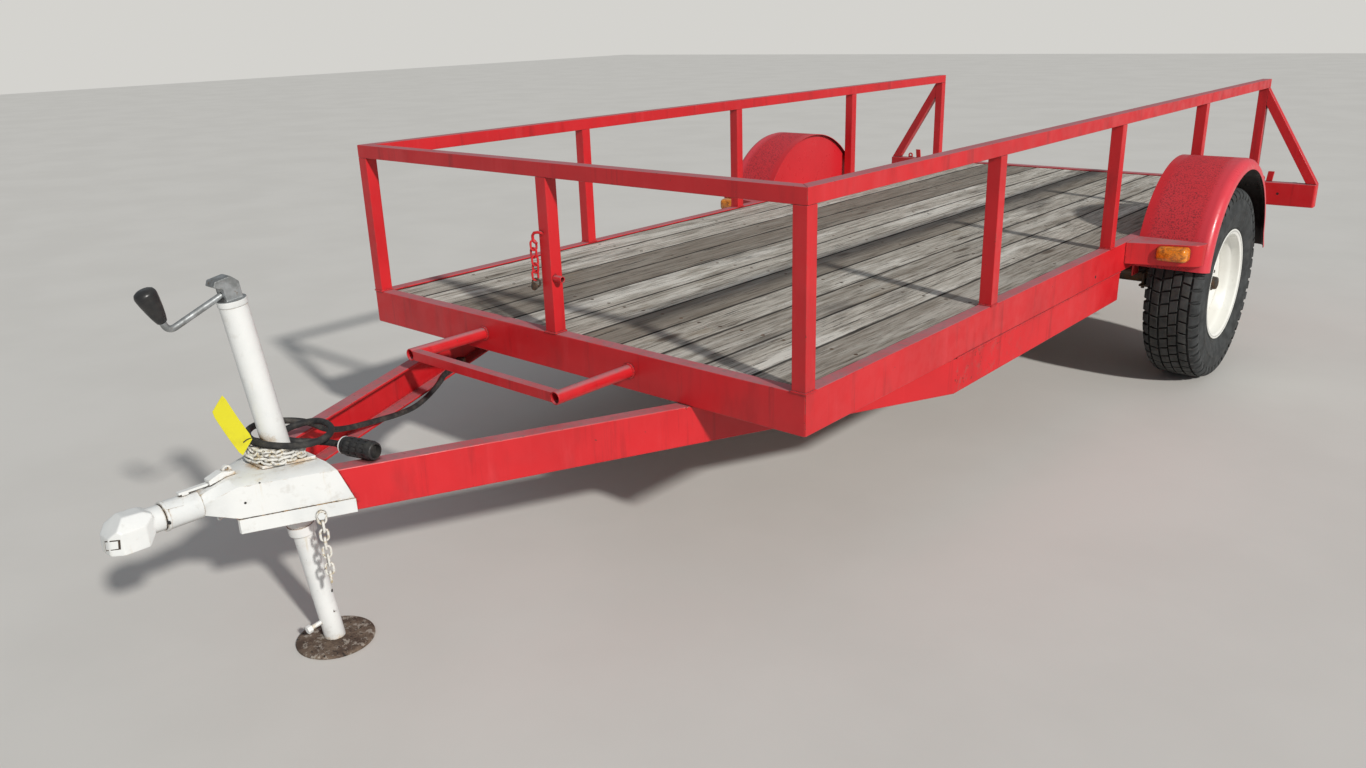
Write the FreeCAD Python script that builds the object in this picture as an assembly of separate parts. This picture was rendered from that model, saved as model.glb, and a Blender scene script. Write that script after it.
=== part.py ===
import FreeCAD, Part
import math
import os

V = FreeCAD.Vector

# Single-axle utility trailer with a plank deck, low pipe-and-tube rails and an A-frame tongue.
# X is across (the left side is +X), Y runs to the rear, Z is up from the floor.
# While it is modelled, Y starts at the front face of the front beam. All sizes are millimetres.

# Deck frame
deck_length = 3657.6
deck_width = 1651.0
channel_height = 101.6
channel_flange = 40.2
channel_web = 4.7
channel_lip = 7.5
rear_beam_depth = 50.8
rear_beam_overhang = 254.5
rear_beam_corner = 8.0
crossmember_size = 50.8
crossmember_wall = 6.4
crossmember_count = 6
crossmember_inset = 300.0

# Planks
plank_count = 11
plank_gap = 2.825
plank_thickness = 38.1
plank_end_gap = 2.0

# Rails
tube_size = 38.1
tube_wall = 3.2
rail_height = 452.0
bay_count = 4

# Tongue
tongue_angle = 25.44
kink_y = 708.0
lower_beam_gap = 142.0

# Places on the tongue, each measured to the rear from where its two outer faces would meet
nose_place = -146.7
head_rear_place = -57.7
barrel_front_place = -32.7
barrel_rear_place = 41.3
frame_front_place = 102.3
tongue_front_place = 122.3
jack_place = 230.3
coupler_rear_place = 277.3

# Rack ahead of the front beam
pipe_radius = 16.7
pipe_wall = 3.4
pipe_length = 254.0
pipe_half_spacing = 288.0
pipe_drop = 50.0
rack_bar_size = 25.4

# Wheels and axle
axle_y = 2424.0
tyre_radius = 360.0
tyre_width = 206.0
tread_width = 160.0
wheel_gap = 33.5
rim_half_width = 84.0
bead_radius = 190.5
bead_seat = 0.3
bead_inset = 12.0
rim_flange_radius = 207.0
rim_well_radius = 166.0
rim_sheet = 3.5
rim_lip_run = 9.0
rim_seat_run = 32.0
rim_slope_run = 46.0
rim_well_end = 20.0
disc_thickness = 5.0
disc_hole_radius = 34.0
disc_flat_radius = 78.0
disc_crown_radius = 116.0
disc_crown = 24.0
disc_edge = 12.0
hub_flange_radius = 72.0
hub_flange_thickness = 10.0
hub_radius = 38.0
hub_inner_length = 72.0
hub_outer_length = 38.0
hub_cap_radius = 24.0
hub_cap_length = 24.0
spindle_radius = 17.0
spindle_clearance = 0.08
axle_tube_radius = 30.2
axle_hub_gap = 3.0

# Leaf springs
spring_inset = 30.5
spring_width = 44.4
leaf_thickness = 7.0
spring_half_span = 320.0
spring_camber = 20.0
leaf_half_spans = (320.0, 230.0, 140.0)
spring_eye_radius = 13.0
spring_bolt_radius = 6.5
bolt_clearance = 0.3
spring_seat_height = 6.0
hanger_wall = 5.0
hanger_length = 60.0
hanger_drop = 28.4
hanger_clearance = 1.0
clamp_rod_radius = 6.0
clamp_plate = 8.0
clamp_seat = 0.5

# Fenders: the arch has its own centre, a little behind and above the axle
fender_radius = 387.0
fender_setback = 28.0
fender_lift = 75.0
fender_width = 247.0
fender_sheet = 3.0
fender_roll = 30.0
fender_lip = 10.0
fender_front_angle = 5.5
fender_rear_angle = 9.9
fender_skirt_back = 33.0
fender_skirt_drop = 64.0
fender_panel_inset = 17.0
fender_seat = 0.3

# Brackets: swept steps from the side rail to the fender's front
bracket_setback = 467.0
bracket_width = 232.5
bracket_sweep = 17.4
bracket_height = 76.0
bracket_wall = 5.0
bracket_corner = 50.0

# Lamps
marker_place = 152.5
marker_width = 103.0
marker_height = 52.0
marker_depth = 20.0
marker_drop = 32.0
marker_chamfer = 6.0
tail_lamp_gap = 154.5
tail_lamp_radius = 50.0
tail_lamp_depth = 24.0
tail_lamp_chamfer = 6.0

# Coupler
head_half_width = 37.0
head_height = 71.0
head_drop = 64.4
head_low_edge = 3.0
head_front_height = 38.0
head_front_slope = 36.0
head_rear_fall = 14.0
head_side_height = 46.0
head_top_share = 0.45
head_nose_share = 0.5
head_nose_length = 22.0
head_rear_taper = 20.0
head_rear_share = 0.7
ball_radius = 25.8
ball_depth = 38.0
neck_radius = 27.0
barrel_radius = 30.0
barrel_drop = 27.4
barrel_ring = 1.6
barrel_ring_length = 6.0
coupler_wall = 5.0
coupler_crease = 2.0
coupler_rise = 14.0
coupler_shoulder = 30.0
coupler_rear_slope = 30.0
strip_height = 32.0
strip_thickness = 8.0
strip_front = 27.0
strip_rear = 0.0

# Jack, leaning with its top towards the front
jack_lean = 7.2
jack_radius = 28.6
jack_wall = 3.2
jack_fit = 0.2
jack_rise = 350.6
jack_drop = 189.4
jack_collar = 2.4
jack_collar_length = 22.0
jack_plate = 8.0
jack_plate_front = 60.0
jack_plate_rear = 42.0
jack_plate_front_half = 37.0
jack_plate_rear_half = 76.0
leg_radius = 24.0
leg_clearance = 0.3
guide_length = 14.0
jack_head = 30.0
leg_overlap = 180.0
foot_radius = 90.0
foot_thickness = 10.0
foot_bevel = 4.0
pull_pin_rise = 62.0
pull_pin_radius = 5.0
pull_pin_length = 24.0
pull_knob_radius = 9.0
pull_knob_length = 12.0
crank_radius = 137.7
crank_drop = 7.8
crank_start = 26.0
crank_rod_radius = 7.0
crank_rise = 22.0
grip_lean = 13.0
cap_height = 14.0
casting_half_width = 18.0
casting_depth = 18.0
casting_height = 63.0
casting_nose_reach = 36.0
casting_nose_height = 50.0
casting_throat_height = 40.0
casting_back_height = 48.0
grip_length = 73.0
grip_radius = 22.0
grip_low_radius = 9.0
grip_end = 12.0

# Ramp tabs and eyes on the rear beam
tab_width = 26.0
tab_thickness = 8.0
tab_height = 46.0
tab_lean = 5.0
eye_radius = 13.0
eye_hole_radius = 6.0
lug_inset = 14.0
near_tab_gap = 54.5
near_eye_gap = 22.5
far_tab_gap = 97.5
far_eye_inset = 106.0

# Latch pin holder on the middle front post
latch_rise = 150.0
latch_radius = 9.0
latch_hole_radius = 6.0
latch_length = 30.0

# Safety chains
link_length = 33.0
link_width = 22.0
link_wire = 6.0
link_lap = 0.6
hanging_links = 8
chain_bolt_radius = 4.0
chain_head_radius = 7.5
chain_head_length = 4.0
chain_seat = 0.3

# Trailer cable and plug
cable_radius = 7.5
clip_length = 16.0
clip_wall = 5.0
plug_radius = 21.5
plug_length = 108.0
plug_boot = 16.0
plug_ring = 6.0
plug_seat = 0.3

# Places worked out from the sizes above
half_width = deck_width / 2
axle_height = tyre_radius
spring_bottom = axle_height + axle_tube_radius + spring_seat_height
spring_top = spring_bottom + leaf_thickness * len(leaf_half_spans)
eye_height = spring_top + spring_camber + spring_eye_radius * 0.6
beam_bottom = eye_height + hanger_drop
deck_height = beam_bottom + channel_height
tongue_bottom = beam_bottom - channel_height
rear_beam_front = deck_length - rear_beam_depth
rear_beam_half = half_width + rear_beam_overhang
inner_half = half_width - channel_web
rail_top = deck_height + rail_height
post_top = rail_top - tube_size
bay_pitch = (deck_length - tube_size) / bay_count
crossmember_bottom = beam_bottom + channel_lip
crossmember_top = crossmember_bottom + crossmember_size
plank_top = crossmember_top + plank_thickness
wheel_x = half_width + wheel_gap + tyre_width / 2
spring_x = half_width - spring_inset
lower_beam_end = axle_y - spring_half_span - hanger_length / 2 - lower_beam_gap
fender_centre = V(0, axle_y + fender_setback, axle_height + fender_lift)
bracket_y = axle_y - bracket_setback
tongue_turn = math.radians(tongue_angle)
apex_y = kink_y - half_width / math.tan(tongue_turn)
tongue_line = V(math.sin(tongue_turn), math.cos(tongue_turn), 0)
tongue_out = V(math.cos(tongue_turn), -math.sin(tongue_turn), 0)
nose_y = apex_y + nose_place
ball_y = nose_y + head_half_width
barrel_z = beam_bottom - barrel_drop
head_bottom = beam_bottom - head_drop
tongue_front = apex_y + tongue_front_place
coupler_top = beam_bottom + coupler_rise
coupler_rear = apex_y + coupler_rear_place
jack_y = apex_y + jack_place
jack_top = coupler_top + jack_rise
jack_bottom = coupler_top - jack_drop
jack_tilt = math.tan(math.radians(jack_lean))
jack_up = V(0, -math.sin(math.radians(jack_lean)), math.cos(math.radians(jack_lean)))
jack_forward = V(0, -math.cos(math.radians(jack_lean)), -math.sin(math.radians(jack_lean)))
grip_turn = math.radians(jack_lean + grip_lean)
grip_up = V(0, -math.sin(grip_turn), math.cos(grip_turn))
plate_top = coupler_top + jack_plate
origin_y = (nose_y + deck_length + tail_lamp_depth) / 2

# The heap of chain on the jack's plate: x and y from the jack's axis, height above the plate
heap_height = 10.4
heap_route = ((-44, -66), (-14, -62), (14, -54), (36, -36), (50, -12), (60, 14), (68, 36))

# The cable's route: x, y and z from the floor, the first point at its clip in the far channel
cable_route = (
    (-478.5, 42, 389), (-431, -49, 391), (-374, -107, 387), (-337, -210, 357),
    (-273, -320, 377), (-232, -420, 398), (-182, -532, 424), (-126, -616, 462),
    (-112, -660, 500), (-144, -706, 511), (-136, -774, 524), (-88, -820, 534),
    (-28, -846, 538), (26, -841, 536), (66, -808, 531), (84, -768, 528),
    (76, -722, 527), (44, -690, 528), (4, -677, 528), (-36, -675, 525),
    (-68, -690, 519), (-84, -722, 513), (-72, -756, 510), (-36, -768, 510),
    (-4, -750, 506), (21.1, -696.7, 495.2), (56, -688, 495.2))
plug_turn = 14.0


def box(x0, x1, y0, y1, z0, z1):
    return Part.makeBox(x1 - x0, y1 - y0, z1 - z0, V(x0, y0, z0))


def rod(start, direction, radius, length):
    return Part.makeCylinder(radius, length, start, direction)


def prism(points, direction):
    """Solid swept along direction from a closed outline of 3-D points."""
    return Part.Face(Part.makePolygon(points + points[:1])).extrude(direction)


def hex_rod(start, direction, radius, length):
    """Six-sided bar, for bolts and their heads, its flats at radius from its axis."""
    turn = FreeCAD.Rotation(V(0, 0, 1), direction)
    reach = radius / math.cos(math.radians(30))
    corners = [V(reach * math.cos(math.radians(a)), reach * math.sin(math.radians(a)), 0)
               for a in range(0, 360, 60)]
    along = V(direction).normalize() * length
    return prism([start + turn.multVec(c) for c in corners], along)


def lofted(sections):
    """Solid with flat or ruled sides through closed outlines of 3-D points."""
    return Part.makeLoft([Part.makePolygon(s + s[:1]) for s in sections], True, True)


def joined(shapes):
    result = shapes[0].multiFuse(shapes[1:])
    return result.removeSplitter()


def mirrored(shape):
    return shape.mirror(V(0, 0, 0), V(1, 0, 0))


def both_sides(shape):
    return Part.makeCompound([shape, mirrored(shape)])


def channel_along_y(y0, y1):
    """C-channel with its web's outer face at x=0, open towards -X, its bottom at z=0."""
    web, flange, lip, height = channel_web, channel_flange, channel_lip, channel_height
    outline = [(0, 0), (-flange, 0), (-flange, lip), (-web, lip),
               (-web, height - lip), (-flange, height - lip), (-flange, height), (0, height)]
    return prism([V(x, y0, z) for x, z in outline], V(0, y1 - y0, 0))


def wedge(corner, direction, reach=6000):
    """Block that holds everything past a plane through corner, across direction."""
    side = V(-direction.y, direction.x, 0) * reach
    points = [corner - side, corner + side, corner + side + direction * reach,
              corner - side + direction * reach]
    return prism([p - V(0, 0, reach) for p in points], V(0, 0, 2 * reach))


def tube_along_y(y0, y1, x, z, size=tube_size, wall=tube_wall, cap=0.0):
    half = size / 2
    inner = half - wall
    outer = box(x - half, x + half, y0, y1, z - half, z + half)
    return outer.cut(box(x - inner, x + inner, y0 - 1, y1 - cap, z - inner, z + inner))


def post(x, y):
    """Upright tube standing on the deck frame, centred at x and y."""
    half = tube_size / 2
    inner = half - tube_wall
    outer = box(x - half, x + half, y - half, y + half, deck_height, post_top)
    return outer.cut(box(x - inner, x + inner, y - inner, y + inner, deck_height - 1, post_top + 1))


def revolved(points, centre, angle=360.0, start=0.0):
    """Solid of revolution about the X axis through centre, from (x, radius) points."""
    outline = [V(x, centre.y, centre.z + r) for x, r in points]
    face = Part.Face(Part.makePolygon(outline + outline[:1]))
    if start:
        face.rotate(centre, V(1, 0, 0), start)
    return face.revolve(centre, V(1, 0, 0), angle)


def front_beam():
    beam = channel_along_y(-half_width, half_width)
    beam.rotate(V(0, 0, 0), V(0, 0, 1), -90)
    beam.translate(V(0, 0, beam_bottom))
    for side in (1, -1):
        beam = beam.cut(wedge(V(side * half_width, 0, 0), V(side, 1, 0).normalize()))
    return beam


def side_rail():
    rail = channel_along_y(0, rear_beam_front)
    rail.translate(V(half_width, 0, beam_bottom))
    return rail.cut(wedge(V(half_width, 0, 0), V(-1, -1, 0).normalize()))


def rear_beam():
    beam = box(-rear_beam_half, rear_beam_half, rear_beam_front, deck_length,
               beam_bottom, deck_height)
    corners = [e for e in beam.Edges if e.BoundBox.ZLength > 1]
    return beam.makeFillet(rear_beam_corner, corners)


def tongue_side():
    """Angled tongue channel, mitred at the kink into the lower beam under the side rail."""
    kink = V(half_width, kink_y, tongue_bottom)
    half_turn = tongue_turn / 2
    bisector = V(math.sin(half_turn), math.cos(half_turn), 0)
    reach = (kink_y - tongue_front) / math.cos(tongue_turn)
    angled = channel_along_y(-reach - channel_flange, channel_flange)
    angled.rotate(V(0, 0, 0), V(0, 0, 1), -tongue_angle)
    angled.translate(kink)
    angled = angled.cut(wedge(kink, bisector))
    angled = angled.cut(wedge(V(0, tongue_front, 0), V(0, -1, 0)))
    straight = channel_along_y(-channel_flange, lower_beam_end - kink_y)
    straight.translate(kink)
    straight = straight.cut(wedge(kink, bisector * -1))
    return joined([angled, straight])


def crossmembers():
    last = rear_beam_front - crossmember_inset
    pitch = (last - crossmember_inset) / (crossmember_count - 1)
    low, top, wall = crossmember_bottom, crossmember_top, crossmember_wall
    pieces = []
    for index in range(crossmember_count):
        y = crossmember_inset + index * pitch
        outline = [(y, low), (y + wall, low), (y + wall, top - wall),
                   (y + crossmember_size, top - wall), (y + crossmember_size, top), (y, top)]
        points = [V(-inner_half, a, b) for a, b in outline]
        pieces.append(prism(points, V(2 * inner_half, 0, 0)))
    return Part.makeCompound(pieces)


def deck_planks():
    clear_width = 2 * (half_width - channel_flange)
    plank_width = (clear_width - (plank_count + 1) * plank_gap) / plank_count
    start = -clear_width / 2 + plank_gap
    y0 = channel_flange + plank_end_gap
    y1 = rear_beam_front - plank_end_gap
    planks = []
    for index in range(plank_count):
        x = start + index * (plank_width + plank_gap)
        planks.append(box(x, x + plank_width, y0, y1, crossmember_top, plank_top))
    return Part.makeCompound(planks)


def rail_posts():
    edge = half_width - tube_size / 2
    posts = [post(0, tube_size / 2)]
    for index in range(bay_count + 1):
        y = tube_size / 2 + index * bay_pitch
        posts += [post(edge, y), post(-edge, y)]
    return Part.makeCompound(posts)


def top_rail_side():
    middle = rail_top - tube_size / 2
    rail = tube_along_y(0, deck_length, half_width - tube_size / 2, middle, cap=tube_wall)
    return rail.cut(wedge(V(half_width, 0, 0), V(-1, -1, 0).normalize()))


def top_rail_front():
    rail = tube_along_y(-half_width, half_width, 0, rail_top - tube_size / 2, cap=-1)
    rail.rotate(V(0, 0, 0), V(0, 0, 1), 90)
    rail.translate(V(0, tube_size / 2, 0))
    for side in (1, -1):
        rail = rail.cut(wedge(V(side * half_width, 0, 0), V(side, 1, 0).normalize()))
    return rail


def brace():
    """Diagonal tube from the rear post's top to the end of the rear beam."""
    y0, y1 = deck_length - tube_size, deck_length
    run, rise = rear_beam_overhang, post_top - deck_height
    wide = tube_size * math.hypot(run, rise) / rise
    points = [V(half_width, y0, post_top), V(half_width, y0, post_top - wide * rise / run),
              V(rear_beam_half - wide, y0, deck_height), V(rear_beam_half, y0, deck_height)]
    return prism(points, V(0, y1 - y0, 0))


def ramp_tab(x, side):
    """Flat tab that stands on the rear beam, its top leaning a little to the given side."""
    half, lean = tab_width / 2, tab_lean * side
    y = deck_length - lug_inset
    points = [V(x - half, y, deck_height), V(x + half, y, deck_height),
              V(x + half + lean, y, deck_height + tab_height),
              V(x - half + lean, y, deck_height + tab_height)]
    return prism(points, V(0, -tab_thickness, 0))


def ramp_eye(x):
    """Upright eye plate with its hole along the trailer."""
    y = deck_length - lug_inset - tab_thickness
    centre = V(x, y, deck_height + eye_radius)
    plate = box(x - eye_radius, x + eye_radius, y, y + tab_thickness, deck_height, centre.z)
    ring = rod(centre, V(0, 1, 0), eye_radius, tab_thickness)
    return joined([plate, ring]).cut(rod(centre, V(0, 1, 0), eye_hole_radius, tab_thickness))


def rack_pipes():
    z = deck_height - pipe_drop
    pipes = []
    for side in (1, -1):
        start = V(side * pipe_half_spacing, -pipe_length, z)
        outer = rod(start, V(0, 1, 0), pipe_radius, pipe_length)
        pipes.append(outer.cut(rod(start, V(0, 1, 0), pipe_radius - pipe_wall, pipe_length)))
    return Part.makeCompound(pipes)


def rack_bar():
    half = rack_bar_size / 2
    z = deck_height - pipe_drop
    bar = box(-pipe_half_spacing, pipe_half_spacing, -pipe_length, -pipe_length + rack_bar_size,
              z - half, z + half)
    for side in (1, -1):
        start = V(side * pipe_half_spacing, -pipe_length - 1, z)
        bar = bar.cut(rod(start, V(0, 1, 0), pipe_radius, pipe_length))
    return bar


def fender_section():
    """Crown, rolled outer edge and lip as (x, radius) points, outside and then back inside."""
    r, t, roll = fender_radius, fender_sheet, fender_roll
    edge = half_width + fender_width - roll
    turns = [math.radians(a) for a in (0, 30, 60, 90)]
    outside = [(edge + roll * math.sin(a), r - roll + roll * math.cos(a)) for a in turns]
    inside = [(edge + (roll - t) * math.sin(a), r - roll + (roll - t) * math.cos(a))
              for a in turns]
    low = r - roll - fender_lip
    outside.append((edge + roll, low))
    inside.append((edge + roll - t, low))
    return [(half_width, r)] + outside + inside[::-1] + [(half_width, r - t)]


def fender():
    """Arched sheet with a rolled outer edge, a flared skirt and a recessed inner panel."""
    section = fender_section()
    centre = fender_centre
    sweep = 180 - fender_front_angle - fender_rear_angle
    shell = revolved(section, centre, -sweep, 90 - fender_front_angle)
    rear = math.radians(fender_rear_angle)
    corners = [centre + V(x, q * math.cos(rear), q * math.sin(rear)) for x, q in section]
    skirt = prism(corners, V(0, fender_skirt_back, -fender_skirt_drop))
    inner_x = half_width + fender_panel_inset
    reach = fender_radius - fender_sheet / 2
    panel = rod(V(inner_x, centre.y, centre.z), V(1, 0, 0), reach, fender_sheet)
    panel = panel.common(box(inner_x - 1, inner_x + 9, centre.y - reach, centre.y + reach,
                             deck_height - fender_sheet, centre.z + reach))
    half_chord = math.sqrt(reach ** 2 - (deck_height - centre.z) ** 2)
    flange = box(half_width, inner_x + fender_sheet, centre.y - half_chord,
                 centre.y + half_chord, deck_height - fender_sheet, deck_height)
    return joined([shell, skirt, panel, flange])


def bracket_outline(offset, inner_x, rear_y, z0, z1):
    """Plan of the bracket, its front and side pulled in by offset, with a rounded corner."""
    slope = math.tan(math.radians(bracket_sweep))
    shift = offset / math.cos(math.radians(bracket_sweep))
    side_x = half_width + bracket_width - offset
    front_y = bracket_y + shift
    points = [V(inner_x, front_y + (inner_x - half_width) * slope, z0),
              V(side_x, front_y + (side_x - half_width) * slope, z0),
              V(side_x, rear_y, z0), V(inner_x, rear_y, z0)]
    block = prism(points, V(0, 0, z1 - z0))
    corner = [e for e in block.Edges if e.BoundBox.ZLength > 1
              and abs(e.BoundBox.Center.x - side_x) < 0.1
              and abs(e.BoundBox.Center.y - points[1].y) < 0.1]
    return block.makeFillet(bracket_corner - offset, corner)


def fender_bracket():
    """Pressed step that closes the gap between the side rail and the fender's front."""
    z0, z1 = deck_height - bracket_height, deck_height
    outer = bracket_outline(0, half_width, fender_centre.y, z0, z1)
    inner = bracket_outline(bracket_wall, half_width - 1, fender_centre.y + 1, z0 - 1,
                            z1 - bracket_wall)
    arch = rod(V(half_width - 1, fender_centre.y, fender_centre.z), V(1, 0, 0),
               fender_radius + fender_seat, 2 * fender_width)
    return outer.cut(inner).cut(arch)


def marker_lamp():
    """Amber lens on the bracket's swept face."""
    z = deck_height - marker_drop
    lens = box(marker_place - marker_width / 2, marker_place + marker_width / 2,
               -marker_depth, 0, z - marker_height / 2, z + marker_height / 2)
    front = [e for e in lens.Edges if e.BoundBox.YMax < 0.1 - marker_depth]
    lens = lens.makeChamfer(marker_chamfer, front)
    lens.rotate(V(0, 0, 0), V(0, 0, 1), bracket_sweep)
    lens.translate(V(half_width, bracket_y, 0))
    return lens


def tail_lamp():
    start = V(half_width + tail_lamp_gap, deck_length, deck_height - channel_height / 2)
    straight = tail_lamp_depth - tail_lamp_chamfer
    lens = rod(start, V(0, 1, 0), tail_lamp_radius, straight)
    dome = Part.makeCone(tail_lamp_radius, tail_lamp_radius - tail_lamp_chamfer,
                         tail_lamp_chamfer, start + V(0, straight, 0), V(0, 1, 0))
    return joined([lens, dome])


def axle_beam():
    tube_end = wheel_x - hub_flange_thickness - hub_inner_length - axle_hub_gap
    spindle_end = wheel_x + hub_outer_length
    centre = V(0, axle_y, axle_height)
    pieces = [rod(centre - V(tube_end, 0, 0), V(1, 0, 0), axle_tube_radius, 2 * tube_end),
              rod(centre - V(spindle_end, 0, 0), V(1, 0, 0), spindle_radius, 2 * spindle_end)]
    half = spring_width / 2
    for side in (1, -1):
        x = side * spring_x
        pieces.append(box(x - half, x + half, axle_y - axle_tube_radius * 0.8,
                          axle_y + axle_tube_radius * 0.8, axle_height, spring_bottom))
    return joined(pieces)


def leaf_spring():
    """Leaf pack on top of the axle, its ends curving up to two eyes."""
    radius = (spring_half_span ** 2 + spring_camber ** 2) / (2 * spring_camber)
    leaves = []
    bores = []
    for index, half_span in enumerate(leaf_half_spans):
        top = spring_top - index * leaf_thickness
        centre = V(spring_x - spring_width / 2, axle_y, spring_top + radius)
        inner = centre.z - top
        ring = rod(centre, V(1, 0, 0), inner + leaf_thickness, spring_width)
        ring = ring.cut(rod(centre, V(1, 0, 0), inner, spring_width))
        window = box(spring_x - spring_width, spring_x + spring_width, axle_y - half_span,
                     axle_y + half_span, spring_bottom - 1, spring_top + 2 * spring_camber)
        leaves.append(ring.common(window))
    for side in (1, -1):
        start = V(spring_x - spring_width / 2, axle_y + side * spring_half_span, eye_height)
        leaves.append(rod(start, V(1, 0, 0), spring_eye_radius, spring_width))
        bores.append(rod(start, V(1, 0, 0), spring_bolt_radius + bolt_clearance, spring_width))
    return joined(leaves).cut(bores[0]).cut(bores[1])


def hangers():
    """Folded hangers under the side rail that hold the two spring eyes."""
    half = spring_width / 2 + hanger_clearance
    wide = half + hanger_wall
    low = eye_height - spring_eye_radius
    pieces = []
    for side in (1, -1):
        y = axle_y + side * spring_half_span
        block = box(spring_x - wide, spring_x + wide, y - hanger_length / 2,
                    y + hanger_length / 2, low, beam_bottom)
        slot = box(spring_x - half, spring_x + half, y - hanger_length, y + hanger_length,
                   low - 1, beam_bottom - hanger_wall)
        bolt = rod(V(spring_x - wide, y, eye_height), V(1, 0, 0), spring_bolt_radius, 2 * wide)
        pieces.append(joined([block.cut(slot), bolt]))
    return Part.makeCompound(pieces)


def spring_clamp():
    """Top plate, tie plate under the axle and the four legs of two U-bolts."""
    rod_x = spring_width / 2 + clamp_rod_radius * 1.2
    rod_y = axle_tube_radius + clamp_rod_radius * 1.2
    wide_x, wide_y = rod_x + 2 * clamp_rod_radius, rod_y + 2 * clamp_rod_radius
    low = axle_height - axle_tube_radius - clamp_plate
    x, y = spring_x, axle_y
    high = spring_top + clamp_seat
    pieces = [box(x - wide_x, x + wide_x, y - wide_y, y + wide_y, high, high + clamp_plate),
              box(x - wide_x, x + wide_x, y - wide_y, y + wide_y, low, low + clamp_plate)]
    for sx in (1, -1):
        for sy in (1, -1):
            start = V(x + sx * rod_x, y + sy * rod_y, low - clamp_plate)
            length = high + 2 * clamp_plate - start.z
            pieces.append(hex_rod(start, V(0, 0, 1), clamp_rod_radius, length))
    return joined(pieces)


def tyre():
    """Closed tyre body: beads, sides, shoulders and a flat tread."""
    half, tread, r = tyre_width / 2, tread_width / 2, tyre_radius
    side = [(rim_half_width - bead_inset, bead_radius + bead_seat), (half, r * 0.765),
            (half * 0.96, r * 0.9), (tread, r)]
    profile = [(wheel_x + x, q) for x, q in side] + [(wheel_x - x, q) for x, q in side[::-1]]
    return revolved(profile, V(0, axle_y, axle_height))


def rim():
    """Welded steel wheel: a rolled drop-centre rim and a dished disc."""
    t, w = rim_sheet, rim_half_width
    flange, bead, well = rim_flange_radius, bead_radius, rim_well_radius
    lip, seat, slope, end = rim_lip_run, rim_seat_run, rim_slope_run, rim_well_end
    outer = [(-w, flange), (-w + lip, bead), (-w + seat, bead), (-w + slope, well),
             (end, well), (w - seat, bead), (w - lip, bead), (w, flange)]
    inner = [(w + t, flange - t), (w - lip + t, bead - t), (w - seat - t, bead - t),
             (end - t, well - t), (-w + slope + t, well - t), (-w + seat + t, bead - t),
             (-w + lip - t, bead - t), (-w - t, flange - t)]
    profile = [(wheel_x + x, q) for x, q in outer + inner]
    centre = V(0, axle_y, axle_height)
    barrel = revolved(profile, centre)
    face = [(0, disc_hole_radius), (0, disc_flat_radius), (disc_crown, disc_crown_radius),
            (disc_edge, well - t + 0.5)]
    back = [(x + disc_thickness, q) for x, q in face]
    disc = revolved([(wheel_x + x, q) for x, q in face + back[::-1]], centre)
    return joined([barrel, disc])


def hub():
    x0 = wheel_x - hub_flange_thickness - hub_inner_length
    bore, end = spindle_radius + spindle_clearance, wheel_x + hub_outer_length
    profile = [(x0, bore), (x0, hub_radius),
               (wheel_x - hub_flange_thickness, hub_radius),
               (wheel_x - hub_flange_thickness, hub_flange_radius), (wheel_x, hub_flange_radius),
               (wheel_x, disc_hole_radius - 0.5), (end, disc_hole_radius - 2),
               (end, hub_cap_radius), (end + hub_cap_length, hub_cap_radius - 3),
               (end + hub_cap_length, 0), (end + 1, 0), (end + 1, bore)]
    return revolved(profile, V(0, axle_y, axle_height))


def tongue_point(y, out, z):
    """Point on the left tongue's outer face at y, moved out from that face."""
    x = (y - apex_y) * math.tan(tongue_turn) + out / math.cos(tongue_turn)
    return V(x, y, z)


def frame_section(y, out, low, crease, top, shoulder):
    """Hat section across the coupler: side walls up to a crease, then a flat top."""
    half = tongue_point(y, out, 0).x
    return [V(-half, y, low), V(-half, y, crease), V(-half + shoulder, y, top),
            V(half - shoulder, y, top), V(half, y, crease), V(half, y, low)]


def coupler_body():
    """Pressed A-frame cover over the tongue's front, narrowing to the barrel."""
    t = coupler_wall
    low, top = tongue_bottom + strip_height, coupler_top
    crease = beam_bottom + coupler_crease
    rear = coupler_rear + coupler_rear_slope
    front = apex_y + frame_front_place
    barrel_rear = apex_y + barrel_rear_place
    r, z = barrel_radius, barrel_z
    round_end = [V(-r * 0.75, barrel_rear, z - r * 0.66), V(-r, barrel_rear, z + r * 0.25),
                 V(-r * 0.55, barrel_rear, z + r * 0.84), V(r * 0.55, barrel_rear, z + r * 0.84),
                 V(r, barrel_rear, z + r * 0.25), V(r * 0.75, barrel_rear, z - r * 0.66)]
    cover = lofted([frame_section(front, t, low, crease, top, coupler_shoulder),
                    frame_section(rear, t, low, crease, top, coupler_shoulder)])
    throat = lofted([round_end, frame_section(front, t, low, crease, top, coupler_shoulder)])
    hollow_front = tongue_front - t
    hollow = lofted([frame_section(hollow_front, 0, low - 1, beam_bottom, top - t,
                                   coupler_shoulder),
                     frame_section(rear + 1, 0, low - 1, beam_bottom, top - t,
                                   coupler_shoulder)])
    body = joined([cover, throat]).cut(hollow)
    reach = half_width
    slope = prism([V(-reach, coupler_rear, top + 1), V(-reach, rear + 5, top + 1),
                   V(-reach, rear + 5, low - 1), V(-reach, rear, low - 1)], V(2 * reach, 0, 0))
    return body.cut(slope).cut(jack_hole())


def chain_bolt(side_point):
    """Bolt that the hanging chain's first link goes over, with its head."""
    shank = link_wire + 2 * chain_seat
    stem = hex_rod(side_point - tongue_out, tongue_out, chain_bolt_radius, shank + 1)
    head = hex_rod(side_point + tongue_out * shank, tongue_out, chain_head_radius,
                   chain_head_length)
    return joined([stem, head])


def hanging_place(out):
    """Where the hanging chain starts: beside the jack, out from the tongue's face."""
    return tongue_point(jack_y + 9, out, 0)


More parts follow.
